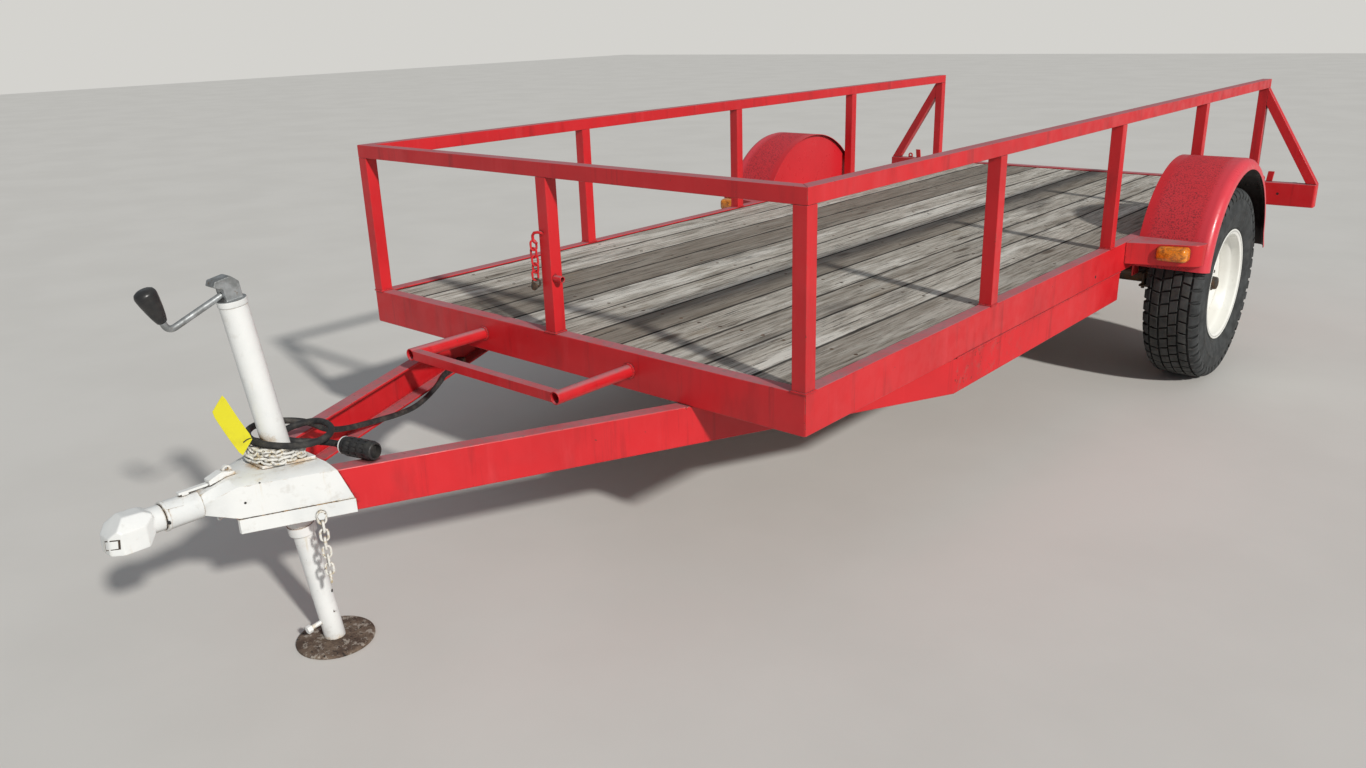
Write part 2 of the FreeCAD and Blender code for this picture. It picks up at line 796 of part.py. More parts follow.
def first_link_height():
    return tongue_bottom - link_lap - link_wire + (link_length - 2 * link_wire) / 2


def coupler_strips():
    """Flat bars welded along the lower sides of the coupler, the left one with a chain bolt."""
    y0, y1 = tongue_front - strip_front, coupler_rear + coupler_rear_slope + strip_rear
    points = [tongue_point(y0, 0, tongue_bottom), tongue_point(y0, strip_thickness, tongue_bottom),
              tongue_point(y1, strip_thickness, tongue_bottom),
              tongue_point(y1, 0, tongue_bottom)]
    strip = prism(points, V(0, 0, strip_height))
    place = hanging_place(strip_thickness)
    place.z = first_link_height() + link_length / 2 - link_wire - chain_bolt_radius * 1.2
    return Part.makeCompound([joined([strip, chain_bolt(place)]), mirrored(strip)])


def coupler_barrel():
    start = V(0, apex_y + barrel_front_place, barrel_z)
    barrel = rod(start, V(0, 1, 0), barrel_radius, barrel_rear_place - barrel_front_place)
    ring = rod(start, V(0, 1, 0), barrel_radius + barrel_ring, barrel_ring_length)
    return joined([barrel, ring])


def coupler_head():
    """Forged ball socket: a faceted nose block with a round neck into the barrel."""
    low, top, half = head_bottom, head_bottom + head_height, head_half_width
    rear, neck_end = apex_y + head_rear_place, apex_y + barrel_front_place
    edge, fall = head_low_edge, head_rear_fall
    side = [(nose_y, low + edge), (nose_y + 2, low + head_front_height),
            (nose_y + head_front_slope, top), (rear - fall, top - 2),
            (rear, barrel_z + neck_radius - 2), (rear, barrel_z - neck_radius + 8),
            (rear - fall - 2, low), (nose_y + edge, low)]
    plan = [(half * head_nose_share, nose_y), (half, nose_y + head_nose_length),
            (half, rear - head_rear_taper), (half * head_rear_share, rear)]
    across = [(half, low), (half, low + head_side_height), (half * head_top_share, top)]
    block = prism([V(-half, y, z) for y, z in side], V(2 * half, 0, 0))
    block = block.common(prism([V(x, y, low - 1) for x, y in plan]
                               + [V(-x, y, low - 1) for x, y in plan[::-1]],
                               V(0, 0, head_height + 2)))
    block = block.common(prism([V(x, nose_y - 1, z) for x, z in across]
                               + [V(-x, nose_y - 1, z) for x, z in across[::-1]],
                               V(0, rear - nose_y + 2, 0)))
    neck = rod(V(0, rear - 12, barrel_z), V(0, 1, 0), neck_radius, neck_end - rear + 12)
    socket = rod(V(0, ball_y, low - 1), V(0, 0, 1), ball_radius, ball_depth + 1)
    return joined([block, neck]).cut(socket)


def coupler_latch():
    """Lever along the barrel's top and the cast eye behind it."""
    barrel_top = barrel_z + barrel_radius
    rear = apex_y + barrel_rear_place
    front = apex_y + frame_front_place
    bar = box(-6, 6, rear - 36, rear + 30, barrel_top + 4, barrel_top + 9)
    foot = box(-6, 6, rear - 30, rear - 16, barrel_top + 0.2, barrel_top + 5)
    base = prism([V(-11, rear + 26, coupler_top - 6.5), V(-11, front + 1, coupler_top + 0.3),
                  V(-11, front + 22, coupler_top + 0.3), V(-11, front + 20, coupler_top + 8),
                  V(-11, front - 6, coupler_top + 14), V(-11, rear + 26, coupler_top + 4)],
                 V(22, 0, 0))
    eye = rod(V(-4, front + 8, coupler_top + 12), V(1, 0, 0), 10, 8)
    hole = rod(V(-5, front + 8, coupler_top + 14), V(1, 0, 0), 4.5, 10)
    return joined([bar, foot, base, eye]).cut(hole)


def jack_point(z):
    """Point on the jack's axis at height z."""
    return V(0, jack_y - (z - coupler_top) * jack_tilt, z)


def axis_length(z0, z1):
    return (z1 - z0) / math.cos(math.radians(jack_lean))


def jack_hole():
    return rod(jack_point(jack_bottom), jack_up, jack_radius + jack_fit,
               axis_length(jack_bottom, jack_top))


def jack_tube():
    length = axis_length(jack_bottom, jack_top)
    tube = rod(jack_point(jack_bottom), jack_up, jack_radius, length)
    collar = rod(jack_point(jack_bottom), jack_up, jack_radius + jack_collar, jack_collar_length)
    guide = rod(jack_point(jack_bottom), jack_up, leg_radius + leg_clearance, guide_length)
    start = jack_point(jack_bottom) + jack_up * guide_length
    bore = rod(start, jack_up, jack_radius - jack_wall, length - guide_length - jack_head)
    return joined([tube, collar]).cut(guide).cut(bore)


def jack_base():
    """Plate on the coupler's top that the jack's tube is welded into."""
    z = coupler_top
    y0, y1 = jack_y - jack_plate_front, jack_y + jack_plate_rear
    a, b = jack_plate_front_half, jack_plate_rear_half
    plate = prism([V(-a, y0, z), V(a, y0, z), V(b, y1, z), V(-b, y1, z)], V(0, 0, jack_plate))
    return plate.cut(jack_hole())


def jack_leg():
    """Round drop leg with the pull pin that holds its foot."""
    low = foot_thickness
    start = jack_point(low)
    length = axis_length(low, jack_bottom) + leg_overlap
    leg = rod(start - jack_up * 20, jack_up, leg_radius, length + 20)
    pin_start = start + jack_up * (pull_pin_rise - low)
    pin = hex_rod(pin_start, jack_forward, pull_pin_radius, leg_radius + pull_pin_length)
    knob = hex_rod(pin_start + jack_forward * (leg_radius + pull_pin_length), jack_forward,
                   pull_knob_radius, pull_knob_length)
    reach = deck_length
    under = box(-reach, reach, -reach, reach, -reach, low)
    return joined([leg, pin, knob]).cut(under)


def jack_foot():
    centre = jack_point(0)
    straight = foot_thickness - foot_bevel
    pad = rod(centre, V(0, 0, 1), foot_radius, straight)
    top = Part.makeCone(foot_radius, foot_radius - 2 * foot_bevel, foot_bevel,
                        centre + V(0, 0, straight), V(0, 0, 1))
    return joined([pad, top])


def head_place(forward, up):
    """Point above the jack's tube, along its lean: forward of its axis and up from its top."""
    return jack_point(jack_top) + jack_forward * forward + jack_up * up


def jack_cap():
    """Round cap with the crank's cast housing, hooked forwards at its top."""
    cap = rod(jack_point(jack_top), jack_up, jack_radius + 1.5, cap_height)
    d = casting_depth
    outline = [(-d, cap_height - 1), (-d, casting_back_height), (-4, casting_height),
               (casting_nose_reach - 6, casting_height - 2), (casting_nose_reach, casting_nose_height),
               (d, casting_throat_height), (d, cap_height - 1)]
    half = casting_half_width
    side = V(-half, 0, 0)
    housing = prism([head_place(a, b) + side for a, b in outline], V(2 * half, 0, 0))
    return joined([cap, housing])


def crank_arm():
    start = head_place(casting_depth + 0.3, crank_start)
    elbow = head_place(crank_radius, -crank_drop)
    run = elbow - start
    direction = V(run).normalize()
    r = crank_rod_radius
    sloping = rod(start, direction, r, run.Length + r * 0.8)
    upright = rod(elbow - grip_up * r * 0.8, grip_up, r, crank_rise + r * 0.8)
    face = prism([head_place(casting_depth - 30, 0) + V(-40, 0, 0),
                  head_place(casting_depth + 0.3, 0) + V(-40, 0, 0),
                  head_place(casting_depth + 0.3, 60) + V(-40, 0, 0),
                  head_place(casting_depth - 30, 60) + V(-40, 0, 0)], V(80, 0, 0))
    return joined([sloping, upright]).cut(face)


def crank_grip():
    low = head_place(crank_radius, -crank_drop) + grip_up * crank_rise
    straight = grip_length - grip_end
    body = Part.makeCone(grip_low_radius, grip_radius, straight, low, grip_up)
    end = Part.makeCone(grip_radius, grip_radius * 0.8, grip_end, low + grip_up * straight, grip_up)
    return joined([body, end])


def chain_link(centre, along, across):
    """Eight-cornered ring, long along one direction and wide across it."""
    normal = along.cross(across).normalize() * link_wire

    def ring(half_long, half_wide):
        cut = half_wide * 0.55
        corners = [(half_long, half_wide - cut), (half_long - cut, half_wide)]
        corners += [(-a, b) for a, b in corners[::-1]]
        corners += [(-a, -b) for a, b in corners]
        return [centre - normal * 0.5 + along * a + across * b for a, b in corners]

    outer = prism(ring(link_length / 2, link_width / 2), normal)
    hole = ring(link_length / 2 - link_wire, link_width / 2 - link_wire)
    return outer.cut(prism([p - normal for p in hole], normal * 3))


def link_pitch():
    return link_length - 2 * link_wire - link_lap


def hanging_chain():
    """Short end of chain that hangs from the bolt on the coupler's left strip."""
    place = hanging_place(strip_thickness) + tongue_out * (chain_seat + link_wire / 2)
    down = V(0, 0, -1)
    links = []
    for index in range(hanging_links):
        centre = V(place.x, place.y, first_link_height() - index * link_pitch())
        across = tongue_line if index % 2 == 0 else tongue_out
        links.append(chain_link(centre, down, across))
    return joined(links)


def heaped_chain():
    """Chain laid round the jack on its plate, every other link tipped the other way."""
    corners = [V(x, jack_y + y, plate_top + heap_height) for x, y in heap_route]
    path = Part.makePolygon(corners)
    count = int(path.Length / link_pitch())
    places = path.discretize(Distance=link_pitch())[:count]
    links = []
    for index in range(len(places) - 1):
        along = (places[index + 1] - places[index]).normalize()
        level = V(0, 0, 1).cross(along)
        tip = 1 if index % 2 else -1
        across = (level + V(0, 0, tip)).normalize()
        links.append(chain_link((places[index] + places[index + 1]) * 0.5, along, across))
    return joined(links)


def cable_points():
    return [V(x, y, z) for x, y, z in cable_route]


def cable():
    """Round cable along straight runs joined by tangent arcs."""
    points = cable_points()
    edges = []
    here = points[0]
    for before, corner, after in zip(points, points[1:], points[2:]):
        back, ahead = before - corner, after - corner
        half_turn = (math.pi - back.getAngle(ahead)) / 2
        trim = 0.45 * min(back.Length, ahead.Length)
        first = corner + back.normalize() * trim
        last = corner + ahead.normalize() * trim
        radius = trim / math.tan(half_turn)
        inward = (back + ahead).normalize()
        middle = corner + inward * (radius / math.cos(half_turn) - radius)
        edges.append(Part.LineSegment(here, first).toShape())
        edges.append(Part.Arc(first, middle, last).toShape())
        print("cable radius", round(radius, 1))
        here = last
    edges.append(Part.LineSegment(here, points[-1]).toShape())
    path = Part.Wire(edges)
    start = points[1] - points[0]
    ring = Part.Wire(Part.makeCircle(cable_radius, points[0], start))
    tube = path.makePipeShell([ring], True, False)
    expected = math.pi * cable_radius ** 2 * path.Length
    print("cable length", round(path.Length, 1), "volume ratio", round(tube.Volume / expected, 4))
    return tube


def cable_clip():
    """Clip on the far channel's lower flange that the cable comes out of."""
    start = cable_points()[0]
    back = (start - cable_points()[1])
    back.z = 0
    back = back.normalize() * clip_length
    side = V(-back.y, back.x, 0).normalize() * (cable_radius + clip_wall)
    floor = V(start.x, start.y, tongue_bottom + channel_lip)
    top = start.z + cable_radius + clip_wall - floor.z
    return prism([floor - side, floor + side, floor + side + back, floor - side + back],
                 V(0, 0, top))


def cable_plug():
    """Round plug lying over the left tongue, with a boot, a ring and three ribs."""
    turn = math.radians(plug_turn)
    along = V(math.cos(turn), math.sin(turn), 0)
    start = cable_points()[-1] + along * plug_seat
    boot = Part.makeCone(cable_radius + 3, plug_radius - 4, plug_boot, start, along)
    ring = rod(start + along * plug_boot, along, plug_radius - 1, plug_ring)
    body_start = start + along * (plug_boot + plug_ring)
    body = rod(body_start, along, plug_radius - 2, plug_length - plug_boot - plug_ring)
    pieces = [boot, ring, body]
    for place in (8, 30, 52, 74):
        pieces.append(rod(body_start + along * place, along, plug_radius, 8))
    return joined(pieces)


def latch_tube():
    """Short pin holder welded to the front of the middle front post."""
    z = deck_height + latch_rise
    start = V(tube_size / 2, tube_size / 2 - 8, z)
    outer = rod(start, V(1, 0, 0), latch_radius, latch_length)
    return outer.cut(rod(start, V(1, 0, 0), latch_hole_radius, latch_length))


def ramp_lugs():
    """Two tabs and two eyes for the ramps, as they stand on the rear beam."""
    return Part.makeCompound([ramp_tab(half_width + near_tab_gap, 1),
                              ramp_eye(half_width + near_eye_gap),
                              ramp_tab(-half_width - far_tab_gap, -1),
                              ramp_eye(far_eye_inset - rear_beam_half)])


def main():
    left = {
        "side_rail": side_rail(),
        "tongue": tongue_side(),
        "top_rail": top_rail_side(),
        "fender": fender(),
        "tyre": tyre(),
        "rim": rim(),
        "hub": hub(),
    }
    nodes = {
        "front_beam": front_beam(),
        "rear_beam": rear_beam(),
        "ramp_lugs": ramp_lugs(),
        "crossmembers": crossmembers(),
        "deck_planks": deck_planks(),
        "rack_pipes": rack_pipes(),
        "rack_bar": rack_bar(),
        "rail_posts": rail_posts(),
        "top_rail_front": top_rail_front(),
        "rail_braces": both_sides(brace()),
        "fender_brackets": both_sides(fender_bracket()),
        "marker_lamps": both_sides(marker_lamp()),
        "tail_lamps": both_sides(tail_lamp()),
        "axle_beam": axle_beam(),
        "leaf_springs": both_sides(leaf_spring()),
        "spring_hangers": both_sides(hangers()),
        "spring_clamps": both_sides(spring_clamp()),
        "coupler_body": coupler_body(),
        "coupler_strips": coupler_strips(),
        "coupler_barrel": coupler_barrel(),
        "coupler_head": coupler_head(),
        "coupler_latch": coupler_latch(),
        "jack_base": jack_base(),
        "jack_tube": jack_tube(),
        "jack_cap": jack_cap(),
        "jack_leg": jack_leg(),
        "jack_foot": jack_foot(),
        "crank_arm": crank_arm(),
        "crank_grip": crank_grip(),
        "hanging_chain": hanging_chain(),
        "heaped_chain": heaped_chain(),
        "trailer_cable": cable(),
        "cable_clip": cable_clip(),
        "cable_plug": cable_plug(),
        "latch_tube": latch_tube(),
    }
    for name, shape in left.items():
        nodes[name + "_left"] = shape
        nodes[name + "_right"] = mirrored(shape)
    os.makedirs("parts", exist_ok=True)
    for name, shape in nodes.items():
        placed = shape.copy()
        placed.translate(V(0, -origin_y, 0))
        if not placed.isValid():
            print("invalid:", name)
        placed.exportStep("parts/" + name + ".step")
    print("nodes", len(nodes), "deck height", round(deck_height, 2),
          "origin", round(origin_y, 3), "nose", round(nose_y, 2))


main()
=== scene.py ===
import random
from math import cos, hypot, pi, radians, sin, tan

import bmesh
import bpy
from mathutils import Matrix, Vector


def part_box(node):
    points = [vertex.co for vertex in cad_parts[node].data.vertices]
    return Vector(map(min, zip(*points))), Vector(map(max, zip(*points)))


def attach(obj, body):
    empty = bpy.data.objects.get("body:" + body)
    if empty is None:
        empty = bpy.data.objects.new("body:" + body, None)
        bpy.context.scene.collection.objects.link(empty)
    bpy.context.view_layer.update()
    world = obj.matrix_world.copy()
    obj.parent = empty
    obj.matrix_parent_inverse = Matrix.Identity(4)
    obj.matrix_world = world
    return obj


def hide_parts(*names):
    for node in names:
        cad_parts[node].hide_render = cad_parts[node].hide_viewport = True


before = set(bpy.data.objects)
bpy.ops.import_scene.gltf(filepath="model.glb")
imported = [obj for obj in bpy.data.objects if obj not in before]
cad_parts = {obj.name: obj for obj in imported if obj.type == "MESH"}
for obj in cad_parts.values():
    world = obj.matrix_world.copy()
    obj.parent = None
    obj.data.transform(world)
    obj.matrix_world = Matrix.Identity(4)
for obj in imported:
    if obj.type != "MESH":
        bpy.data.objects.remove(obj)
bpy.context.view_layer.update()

# The camera that the photograph was taken with, fitted to the deck frame, posts and rails.
# Metres; the rotation vector turns the trailer's axes to right, down and forward.
PHOTO_WIDTH = 1366
PHOTO_HEIGHT = 768
PHOTO_FOCAL = 1048.26
CAMERA_AT = Vector((2.05686, -3.04155, 1.36037))
CAMERA_TURN = Vector((1.8231, 0.6613, -0.5092))
SENSOR_WIDTH = 36.0

# Direction to the sun, from the shadows of the posts and the near rail on the deck
TO_SUN = Vector((0.83, -0.232, 0.5075))

# Where the model's places are counted from: the front beam's front face
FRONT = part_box("front_beam")[0].y

# The trailer cable's route, the same points as in the part's source, millimetres
CABLE_ROUTE = (
    (-478.5, 42, 389), (-431, -49, 391), (-374, -107, 387), (-337, -210, 357),
    (-273, -320, 377), (-232, -420, 398), (-182, -532, 424), (-126, -616, 462),
    (-112, -660, 500), (-144, -706, 511), (-136, -774, 524), (-88, -820, 534),
    (-28, -846, 538), (26, -841, 536), (66, -808, 531), (84, -768, 528),
    (76, -722, 527), (44, -690, 528), (4, -677, 528), (-36, -675, 525),
    (-68, -690, 519), (-84, -722, 513), (-72, -756, 510), (-36, -768, 510),
    (-4, -750, 506), (21.1, -696.7, 495.2), (56, -688, 495.2))
CABLE_RADIUS = 0.0075
PLUG_TURN = radians(14)
PLUG_RADIUS = 0.0215
PLUG_LENGTH = 0.108
PLUG_WAISTS = 4
PLUG_RIDGES = 12

# Jack: leans in degrees, y and heights in the part's millimetres, the rest in metres
JACK_LEAN = 7.2
JACK_Y = -797.3
COUPLER_TOP = 487.4
JACK_RISE = 350.6
CAP_HEIGHT = 0.014
GRIP_LEAN = 13.0
CRANK_RADIUS = 0.1377
CRANK_DROP = 0.0078
CRANK_RISE = 0.022
CRANK_START = 0.0175
CRANK_START_RISE = 0.026
CRANK_BEND = 0.017
CRANK_ROD = 0.0069

# Frame: the tongue's turn from the centre line and its kink in the part's millimetres
HALF_WIDTH = 0.8255
DECK_LENGTH = 3.6576
TUBE = 0.0381
BAYS = 4
REAR_BEAM = 0.0508
TONGUE_TURN = radians(25.44)
KINK_Y = 708.0
PIPE_X = 288
PIPE_Z = 525

# Welds: half the square round a post, the side seam's front end, the ring round a rack pipe, and
# the coupler seam's height over its strips, its way out and its ends along the tongue in mm
POST_WELD = 0.0195
SIDE_SEAM_START = 0.712
PIPE_WELD = 0.0175
COUPLER_SEAM_RISE = 0.0322
COUPLER_SEAM_OUT = 0.0053
COUPLER_SEAM_ENDS = (102, 276)
BEAD_STEP = 0.0045

# Planks and the screws over each crossmember
PLANKS = 11
PLANK_GAP = 0.0028
MEMBERS = 6
MEMBER_INSET = 0.3
MEMBER_MIDDLE = 0.025

# Marker lamps, and the height of the fenders' arch centre
MARKER_WIDTH = 0.103
FENDER_CENTRE_Z = 0.435

# Wheels
WHEEL_MIDDLE = (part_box("tyre_left")[0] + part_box("tyre_left")[1]) / 2
WHEEL_BLOCKS = 48
TYRE_RADIUS = 0.36
TREAD_DEPTH = 0.0085
NUT_CIRCLE = 0.057
NUT_COUNT = 5

# Rows of tread blocks: start and end from the crown's middle, lean, half a block's shift, steps
TREAD_ROWS = ((0.001, 0.03, 0.022, 0.5, 1), (0.0345, 0.062, -0.02, 0.0, 1),
              (0.0665, 0.113, 0.012, 0.5, 7))

# Chain: a link's length, width and wire on the safety chain and the latch's, the links that hang
# and their pitch
SAFETY_LINK = (0.033, 0.022, 0.0058)
LATCH_LINK = (0.032, 0.0215, 0.006)
HANGING_LINKS = 8
HANGING_PITCH = 0.0204
LATCH_LINKS = 5

# Rounds of the heaped chain: radius, height, first and last turn in degrees, links
HEAP_ROUNDS = ((0.0435, 0.012, -158, 34, 15), (0.0545, 0.01, -150, 20, 15),
               (0.049, 0.024, -140, -6, 11), (0.0435, 0.026, -128, -62, 6))

# What the photograph shows at these pixels: small holes with their radius in metres, and the
# outlines of the window in the coupler's head, of the block inside it and of the blank plate
SEEN_HOLES = ((169.2, 522.8, 0.0042), (245.4, 503.0, 0.0026), (259.6, 482.9, 0.002),
              (1095.5, 277.0, 0.005), (1277.4, 193.7, 0.0055), (332.0, 590.5, 0.004))
SEEN_WINDOW = ((104.6, 541.4), (120.2, 539.9), (121.0, 549.4), (106.2, 551.2))
SEEN_BLOCK = ((105.2, 542.4), (118.0, 541.2), (118.6, 548.7), (106.6, 550.3))
SEEN_PLATE = ((161.9, 503.6), (182.2, 498.6), (183.6, 505.4), (163.4, 510.6))

RED = (0.64, 0.015, 0.021)
DEEP_RED = (0.42, 0.009, 0.013)
FADED_RED = (0.46, 0.155, 0.175)
WHITE = (0.8, 0.81, 0.8)
YELLOW_RUST = (0.46, 0.27, 0.075)
DARK_RUST = (0.06, 0.03, 0.018)
# Brown of dirt, also laid as painted shade on white faces that look down
DIRT_AND_SHADE = (0.145, 0.11, 0.08)

EVEN = (1, 1, 1)

# Doubled points nearer than this are welded; flat faces join, corners round off and shading
# breaks at these angles
DOUBLE_POINTS = 0.00002
FLAT_ANGLE = radians(0.6)
BEVEL_ANGLE = radians(32)
SHARP_ANGLE = radians(38)


def at(x, y, z):
    """A place in the model's millimetres, as metres in the row frame."""
    return Vector((x / 1000, FRONT + y / 1000, z / 1000))


def settled(thing, **values):
    """The thing with its attributes set to these values."""
    for name, value in values.items():
        setattr(thing, name, value)
    return thing


class Finish:
    """A material with helpers that add texture nodes, join them and lay colours over it."""

    def __init__(self, name, colour, roughness=0.5, metallic=0.0):
        self.material = bpy.data.materials.new(name)
        self.material.use_nodes = True
        self.nodes = self.material.node_tree.nodes
        self.shader = self.nodes["Principled BSDF"]
        self.set(Roughness=roughness, Metallic=metallic)
        self.place = self.node("TexCoord", {}, "Object")
        self.facing = self.node("TexCoord", {}, "Normal")
        self.colour = colour

    def put(self, value, socket):
        if isinstance(value, bpy.types.NodeSocket):
            self.material.node_tree.links.new(value, socket)
        elif isinstance(value, tuple) and len(value) == 3 and socket.type == "RGBA":
            socket.default_value = (*value, 1.0)
        else:
            socket.default_value = value

    def set(self, **values):
        """Put values into the shader's inputs of these names."""
        for name, value in values.items():
            self.put(value, self.shader.inputs[name.replace("_", " ")])

    def node(self, kind, inputs, output=0, **settings):
        """One output of a new node with these inputs, by name or number, and settings."""
        node = settled(self.nodes.new("ShaderNode" + kind), **settings)
        for key, value in inputs.items():
            self.put(value, node.inputs[key])
        return node.outputs[output]

    def axis(self, vector, letter):
        return self.node("SeparateXYZ", {0: vector}, letter)

    def stretched(self, stretch, place):
        return self.node("Mapping", {"Vector": place or self.place, "Scale": stretch})

    def noise(self, scale, detail=4, stretch=EVEN, place=None, rough=0.55):
        return self.node("TexNoise", {"Scale": scale, "Detail": detail, "Roughness": rough,
                                      "Vector": self.stretched(stretch, place)}, "Fac")

    def cells(self, scale, stretch=EVEN, place=None):
        return self.node("TexVoronoi", {"Scale": scale, "Vector": self.stretched(stretch, place)},
                         "Distance")

    def spread(self, value, low, high, out_low=0.0, out_high=1.0):
        """The value's stretch from low to high, eased onto the one from out_low to out_high."""
        return self.node("MapRange", dict(enumerate((value, low, high, out_low, out_high))),
                         interpolation_type="SMOOTHSTEP")

    def varied(self, scale, low, high, detail=5):
        """A value that wanders from low to high over the surface."""
        return self.spread(self.noise(scale, detail), 0.3, 0.7, low, high)

    def calc(self, operation, a, b=0.0):
        return self.node("Math", {0: a, 1: b}, operation=operation)

    def times(self, a, b):
        return self.calc("MULTIPLY", a, b)

    def greater(self, a, b):
        return self.calc("MAXIMUM", a, b)

    def mix(self, share, first, second):
        return self.node("Mix", {0: share, 6: first, 7: second}, 2, data_type="RGBA")

    def layer(self, tint, share, where=None):
        """Lay a tint over the colour so far by a share, times where, and give that share."""
        if where is not None:
            share = self.times(share, where)
        self.colour = self.mix(share, self.colour, tint)
        return share

    def stain(self, tint, scale, detail, low, high, least=0.0, most=1.0, stretch=EVEN,
              place=None, rough=0.55, where=None):
        """Lay a tint over the colour so far in patches of noise."""
        patches = self.noise(scale, detail, stretch, place, rough)
        return self.layer(tint, self.spread(patches, low, high, least, most), where)

    def facing_up(self):
        return self.spread(self.axis(self.facing, "Z"), 0.55, 0.92)

    def crevice(self, distance, low, high, roughness=0.0):
        """1 in the corners where pieces meet, fading out over the distance."""
        value = self.node("AmbientOcclusion", {"Distance": distance}, "AO", samples=4)
        if roughness:
            value = self.calc("ADD", value, self.varied(110.0, -roughness, roughness, 6))
        return self.spread(value, low, high)

    def worn_edge(self, radius):
        """1 along the edges, where paint wears through."""
        normals = {0: self.node("Bevel", {"Radius": radius}, samples=2),
                   1: self.node("NewGeometry", {}, "True Normal")}
        return self.spread(self.node("VectorMath", normals, "Value", operation="DOT_PRODUCT"),
                           0.992, 0.9)

    def offset(self, letter, centre):
        """How far along an axis the shaded point lies from a centre."""
        return self.calc("SUBTRACT", self.axis(self.place, letter), centre)

    def fender_outward(self):
        """1 on the fender's outer faces, which look away from its arch's axis, 0 inside it."""
        lowest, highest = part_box("fender_left")
        y = self.offset("Y", (lowest.y + highest.y) / 2)
        z = self.offset("Z", FENDER_CENTRE_Z)
        away = self.calc("ADD", self.times(y, self.axis(self.facing, "Y")),
                         self.times(z, self.axis(self.facing, "Z")))
        side = self.times(self.calc("ABSOLUTE", self.axis(self.facing, "X")), 0.2)
        return self.spread(self.calc("ADD", away, side), 0.0, 0.06)

    def wheel_radius(self):
        """Distance of the shaded point from the axle's line."""
        y, z = self.offset("Y", WHEEL_MIDDLE.y), self.offset("Z", WHEEL_MIDDLE.z)
        return self.calc("SQRT", self.calc("ADD", self.times(y, y), self.times(z, z)))

    def bump(self, height, distance, strength):
        self.set(Normal=self.node("Bump", {"Distance": distance, "Strength": strength,
                                           "Height": height}))

    def done(self, roughness=None):
        self.set(Base_Color=self.colour)
        if roughness is not None:
            self.set(Roughness=roughness)
        return self.material


def red_paint():
    """Gloss enamel: deep on the sides, bleached and dusty on top, streaked, chipped, with painted
    shade in corners.
    """
    f = Finish("red_paint", RED)
    top = f.facing_up()
    side = f.calc("SUBTRACT", 1.0, top)
    f.stain(DEEP_RED, 3.5, 5, 0.35, 0.7, most=0.4)
    f.stain((0.72, 0.07, 0.08), 19.0, 8, 0.52, 0.74, most=0.28, stretch=(1, 1, 0.12), rough=0.7,
            where=side)
    f.stain((0.3, 0.01, 0.013), 15.0, 8, 0.55, 0.67, most=0.48, stretch=(1, 1, 0.06), rough=0.7,
            where=side)
    f.stain((0.24, 0.014, 0.015), 11.0, 7, 0.54, 0.78, most=0.4, stretch=(1, 1, 0.3), where=side)
    bleach = f.stain(FADED_RED, 9.0, 8, 0.25, 0.62, 0.55, 1.0, where=top)
    f.stain((0.25, 0.17, 0.165), 70.0, 8, 0.46, 0.72, most=0.65, where=top)
    # Painted shade: dark red laid into the corners where parts meet
    seams = f.crevice(0.012, 0.8, 0.52, 0.1)
    f.layer((0.085, 0.014, 0.013), seams, 0.85)
    f.stain((0.3, 0.09, 0.08), 36.0, 8, 0.5, 0.66, most=0.8, rough=0.7,
            where=f.worn_edge(0.0028))
    wear = f.noise(48.0, 10, rough=0.72)
    spots = f.spread(wear, 0.675, 0.695)
    f.layer(DARK_RUST, f.greater(spots, f.times(f.worn_edge(0.004), f.spread(wear, 0.6, 0.64))))
    f.bump(f.calc("ADD", f.times(f.noise(240.0, 3), 0.5), f.times(spots, -0.8)), 0.0006, 0.35)
    dull = f.greater(f.times(bleach, 0.72), f.times(seams, 0.8))
    return f.done(f.greater(f.varied(22.0, 0.3, 0.5), dull))


def fender_paint():
    """The fenders' enamel: dull and specked on the crown, glossy on its rolled edge; painted
    highlight and shade.
    """
    f = Finish("fender_paint", (0.66, 0.022, 0.032))
    x = f.calc("ABSOLUTE", f.axis(f.place, "X"))
    inner, outer = (corner.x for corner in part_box("fender_left"))
    outward = f.fender_outward()
    crown = f.times(f.times(f.spread(x, inner + 0.012, inner + 0.05),
                            f.spread(x, outer - 0.04, outer - 0.075)), outward)
    f.stain(DEEP_RED, 4.0, 5, 0.3, 0.7, most=0.35)
    # Painted highlight: lighter pink red along the outer rolled edge
    f.layer((0.72, 0.06, 0.085), f.spread(x, outer - 0.075, outer - 0.04, 0.0, 0.75), outward)
    f.stain((0.62, 0.036, 0.05), 7.0, 7, 0.28, 0.65, 0.45, 0.9, where=crown)
    dusty = f.times(crown, f.spread(f.noise(9.0, 7), 0.28, 0.55, 0.36, 0.8))
    f.stain((0.15, 0.014, 0.022), 210.0, 5, 0.515, 0.585, rough=0.65, where=dusty)
    f.stain((0.07, 0.012, 0.014), 95.0, 6, 0.6, 0.66, most=0.75, rough=0.7, where=crown)
    # Painted shade: the faces inside the arch, which look towards its axis, laid nearly black
    f.layer((0.016, 0.01, 0.009), f.calc("SUBTRACT", 1.0, outward))
    f.bump(f.noise(160.0, 5), 0.0008, 0.4)
    return f.done(f.greater(f.varied(30.0, 0.26, 0.42), f.times(crown, 0.62)))


